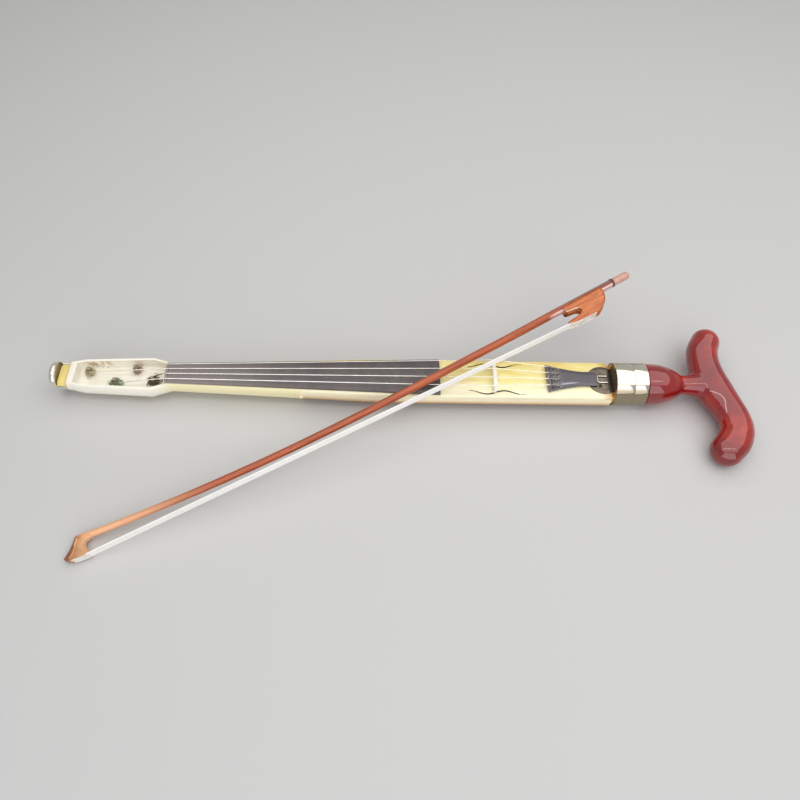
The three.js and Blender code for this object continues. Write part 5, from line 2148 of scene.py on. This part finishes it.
    def frog(self) -> None:
        """The frog: rounded edges, a round throat and a groove for the stick."""
        height = self.butt_axis(self.frog_start + self.frog_length)
        start, length = self.frog_start, self.frog_length
        corners = [(start + x * length, y * height) for x, y in self.frog_shares]
        outline = corners[:2] + joined(corners[2:9], 3) + joined(corners[9:], 4)
        mesh = bmesh.new()
        levels = ((1.0, 1.0), (0.3, 0.93), (0.0, 0.8))
        insets = [0.25 if x < start + 1.5 else 0.9 for x, _ in outline]
        pillow(mesh, outline, self.frog_half, insets, levels)

        def painted_edge_highlight(point: Vector) -> float:
            """The mark along the lower edge of the upper tongue and in the throat's mouth, where a
            cream highlight is painted on.

            Args:
                point: a point in the bow's frame.

            Returns:
                Its mark, from 0 to 1.
            """
            share = (point.x - start) / length
            low = 0.5 * height < point.y < 0.62 * height and share < 0.34
            return 0.9 if low else 0.0

        piece = self.shop.settle(
            mesh, "frog_shaped", PLACES.bow(), Body.FROG, self.shop.finishes.frog_wood, "bow_wood",
            ("bow_frog",), sharp=30, marks=painted_edge_highlight,
        )
        cutter = bmesh.new()
        ends = [(x, self.butt_axis(x), 0.0) for x in (self.frog_start - 20, self.length + 10)]
        tube(cutter, ends, self.butt_radius + 0.25, 40)
        bmesh.ops.transform(cutter, matrix=PLACES.bow(), verts=cutter.verts)
        carve(piece, cutter)

    def slide_plate(self) -> None:
        """The pale slide along the frog's sole, which closes the hair in."""
        start = self.frog_start - 3.0
        top = [(0.0, 0.5), (10.0, -0.5), (22.0, -0.7), (29.0, -0.4), (34.5, 0.5)]
        foot = [(35.0, 0.1), (31.0, -1.5), (24.0, -2.0), (8.0, -1.9), (0.0, -0.6)]
        outline = [(start + x, y) for x, y in joined(top, 4) + joined(foot, 4)]
        mesh = bmesh.new()
        pillow(mesh, outline, 4.9, [0.35] * len(outline), ((1.0, 1.0), (0.3, 0.97), (0.0, 0.9)))
        self.shop.settle(
            mesh, "frog_slide", PLACES.bow(), Body.FROG, self.shop.finishes.pearl, "ivory_plate",
            sharp=40,
        )

    def hair(self) -> None:
        """The ribbon of hair: many fine strands over a thin core, stretched to the frog."""
        draw = random.Random(7)
        mesh = bmesh.new()
        start, end = self.hair_start - 4.2, self.hair_end + 3.0
        steps = 16
        core = 0.4 * self.hair_thickness
        rings = []
        for k in range(steps + 1):
            x = mix(start, end, k / steps)
            reach = self.hair_half - 0.25
            corners = ((core, reach), (core, -reach), (-core, -reach), (-core, reach))
            rings.append([(x, y, z) for y, z in corners])
        loft(mesh, rings)
        for number in range(self.strands):
            share = (number + 0.5) / self.strands
            z = mix(-self.hair_half, self.hair_half, share)
            level = (-1, 1)[number % 2] * 0.4 * self.hair_thickness
            sway = draw.uniform(-0.18, 0.18)
            lift = draw.uniform(-0.08, 0.08)
            points = []
            for k in range(steps + 1):
                t = k / steps
                bow = math.sin(math.pi * t)
                points.append((mix(start, end, t), level + lift * bow, z + sway * bow))
            tube(mesh, points, 0.1, 4)
        piece = self.shop.settle(
            mesh, "hair_ribbon", PLACES.bow(), Body.BOW, self.shop.finishes.hair, "horsehair",
            ("bow_hair",), sharp=60,
        )
        piece.parent = None
        first = PLACES.bow() @ Vector((self.hair_start + 4, 0, 0))
        last = PLACES.bow() @ Vector((self.hair_end, 0, 0))
        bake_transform(piece)

    def butt_ring(self) -> None:
        """The dark band round the end of the butt."""
        start, r = self.length - 2.2, self.butt_radius
        inner = 0.92 * r
        profile = [(start, inner), (start, 1.06 * r), (start + 0.3, 1.1 * r)]
        profile += [(start + 1.7, 1.1 * r), (start + 2.0, 1.06 * r), (start + 2.0, inner)]
        mesh = bmesh.new()
        lathe(mesh, profile, 48, closed=True)
        at = Matrix.Translation((self.length, self.stick_at(self.length), 0))
        turn = Matrix.Rotation(math.atan(self.butt_slope()), 4, "Z")
        back = Matrix.Translation((-self.length, 0, 0))
        self.shop.settle(
            mesh, "butt_ring", PLACES.bow() @ at @ turn @ back, Body.BOW,
            self.shop.finishes.dark_wood, "bow_wood", sharp=35,
        )

    def button(self) -> None:
        """The turned button on the end of the screw."""
        start = self.length + 0.3
        r = self.button_radius
        length = self.button_length
        profile = [
            (start, self.screw_radius + 0.3), (start, 0.9 * r), (start + 0.3, 0.97 * r),
            (start + 1.5, r), (start + 1.9, 0.9 * r), (start + 2.2, 0.88 * r),
            (start + 2.6, 0.94 * r), (start + 3.2, 0.95 * r), (start + length - 3.2, 0.99 * r),
            (start + length - 1.6, 0.93 * r), (start + length - 0.6, 0.76 * r),
            (start + length - 0.3, 0.45 * r), (start + length - 0.3, 0.0),
        ]
        mesh = bmesh.new()
        profile += [(start + 5, 0.0), (start + 5, self.screw_radius + 0.3)]
        lathe(mesh, profile, 40, closed=True)
        at = Matrix.Translation((self.length, self.stick_at(self.length), 0))
        turn = Matrix.Rotation(math.atan(self.butt_slope()), 4, "Z")
        back = Matrix.Translation((-self.length, 0, 0))
        self.shop.settle(
            mesh, "button_turned", PLACES.bow() @ at @ turn @ back, Body.ADJUSTER,
            self.shop.finishes.button, "button_wood", ("bow_button",), sharp=35,
        )


@dataclass
class Studio:
    """The camera at the photograph's angle, the soft light and the pale floor."""

    focal: float = 31.5
    station: float = 321.52
    reach: float = -398.35
    height: float = 614.11
    yaw: float = 4.627
    pitch: float = 57.513
    roll: float = 4.725
    world_light: float = 0.15
    world_seen: float = 0.5
    floor_half: float = 1.4
    floor_gap: float = 0.0003

    def build(self) -> None:
        """Set the camera first, then the light and the floor."""
        self.camera()
        self.light()
        self.floor()
        bpy.context.scene.view_settings.view_transform = "Standard"

    def camera(self) -> None:
        """The camera that was solved from the photograph."""
        yaw, pitch, roll = (math.radians(a) for a in (self.yaw, self.pitch, self.roll))
        level = math.cos(pitch)
        ahead = Vector((math.sin(yaw) * level, math.cos(yaw) * level, -math.sin(pitch)))
        side = Vector((math.cos(yaw), -math.sin(yaw), 0))
        above = side.cross(ahead)
        right = math.cos(roll) * side + math.sin(roll) * above
        up = math.cos(roll) * above - math.sin(roll) * side
        low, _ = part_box("body_shell")
        at = PLACES.violin() @ Vector((self.station, self.reach, 0))
        at.z = low.z + self.height * MM
        data = bpy.data.cameras.new("camera")
        data.lens = self.focal
        data.sensor_width = 36.0
        data.clip_start, data.clip_end = 0.02, 20.0
        camera = bpy.data.objects.new("camera", data)
        turn = Matrix((right, up, -ahead)).transposed().to_4x4()
        camera.matrix_world = Matrix.Translation(at) @ turn
        bpy.context.scene.collection.objects.link(camera)
        bpy.context.scene.camera = camera

    def lamp(
        self,
        name: str,
        at: Point,
        facing: Point,
        size: Pair,
        radiance: float,
        colour: Point,
    ) -> None:
        """One soft rectangular lamp.

        Args:
            name: the lamp's name.
            at: where it hangs.
            facing: the direction that it shines in.
            size: its width along X and its other side, in metres.
            radiance: how bright its face is, where 1 is a white that is fully lit.
            colour: its colour.
        """
        data = bpy.data.lights.new(name, "AREA")
        data.shape = "RECTANGLE"
        data.size, data.size_y = size
        data.energy = radiance * math.pi * size[0] * size[1]
        data.color = colour
        lamp = bpy.data.objects.new(name, data)
        facing_turn = Vector(facing).to_track_quat("-Z", "Y").to_matrix().to_4x4()
        lamp.matrix_world = Matrix.Translation(at) @ facing_turn
        lamp.visible_camera = False
        bpy.context.scene.collection.objects.link(lamp)

    def light(self) -> None:
        """A large soft lamp overhead, a cooler one in front, a thin strip, and a pale world."""
        self.lamp("overhead", (0.45, 0.23, 1.2), (0, 0, -1), (2.7, 2.14), 1.2, (1.0, 0.99, 0.98))
        self.lamp("front", (0.15, -1.5, 1.0), (0, 1, 0), (2.7, 1.7), 1.5, (0.95, 0.94, 1.0))
        self.lamp("strip", (0.0, -0.25, 1.19), (0, 0, -1), (2.2, 0.06), 5.0, (1.0, 0.99, 0.97))
        world = bpy.data.worlds.new("pale_world")
        world.use_nodes = True
        tree = world.node_tree
        background = next(n for n in tree.nodes if n.type == "BACKGROUND")
        background.inputs["Color"].default_value = (0.94, 0.95, 0.96, 1.0)
        rays = tree.nodes.new("ShaderNodeLightPath")
        seen = tree.nodes.new("ShaderNodeMath")
        seen.operation = "MAXIMUM"
        tree.links.new(rays.outputs["Is Camera Ray"], seen.inputs[0])
        tree.links.new(rays.outputs["Is Glossy Ray"], seen.inputs[1])
        clear = tree.nodes.new("ShaderNodeMath")
        clear.operation = "MAXIMUM"
        tree.links.new(seen.outputs[0], clear.inputs[0])
        tree.links.new(rays.outputs["Is Transmission Ray"], clear.inputs[1])
        strength = tree.nodes.new("ShaderNodeMapRange")
        tree.links.new(clear.outputs[0], strength.inputs["Value"])
        strength.inputs["To Min"].default_value = self.world_light
        strength.inputs["To Max"].default_value = self.world_seen
        tree.links.new(strength.outputs[0], background.inputs["Strength"])
        bpy.context.scene.world = world

    def floor(self) -> None:
        """A wide pale floor just under the object."""
        low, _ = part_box("body_shell")
        mesh = bmesh.new()
        bmesh.ops.create_grid(mesh, x_segments=2, y_segments=2, size=self.floor_half)
        bmesh.ops.translate(mesh, vec=(0, 0, low.z - self.floor_gap), verts=mesh.verts)
        data = bpy.data.meshes.new("floor")
        mesh.to_mesh(data)
        mesh.free()
        data.materials.append(Floor().make())
        floor = bpy.data.objects.new("floor", data)
        bpy.context.scene.collection.objects.link(floor)


def main() -> None:
    """Build the studio and every sub-assembly in order, and report the pieces."""
    logging.basicConfig(level=logging.INFO, format="%(message)s")
    Studio().build()
    shop = Workshop(Finishes())
    for part in (SoundBox, Metalwork, Fittings, Strings, Handle, Bow):
        part(shop).build()
        log.info("%s done", part.__name__)
    log.info("%d pieces", len(shop.made))


if __name__ == "__main__":
    main()
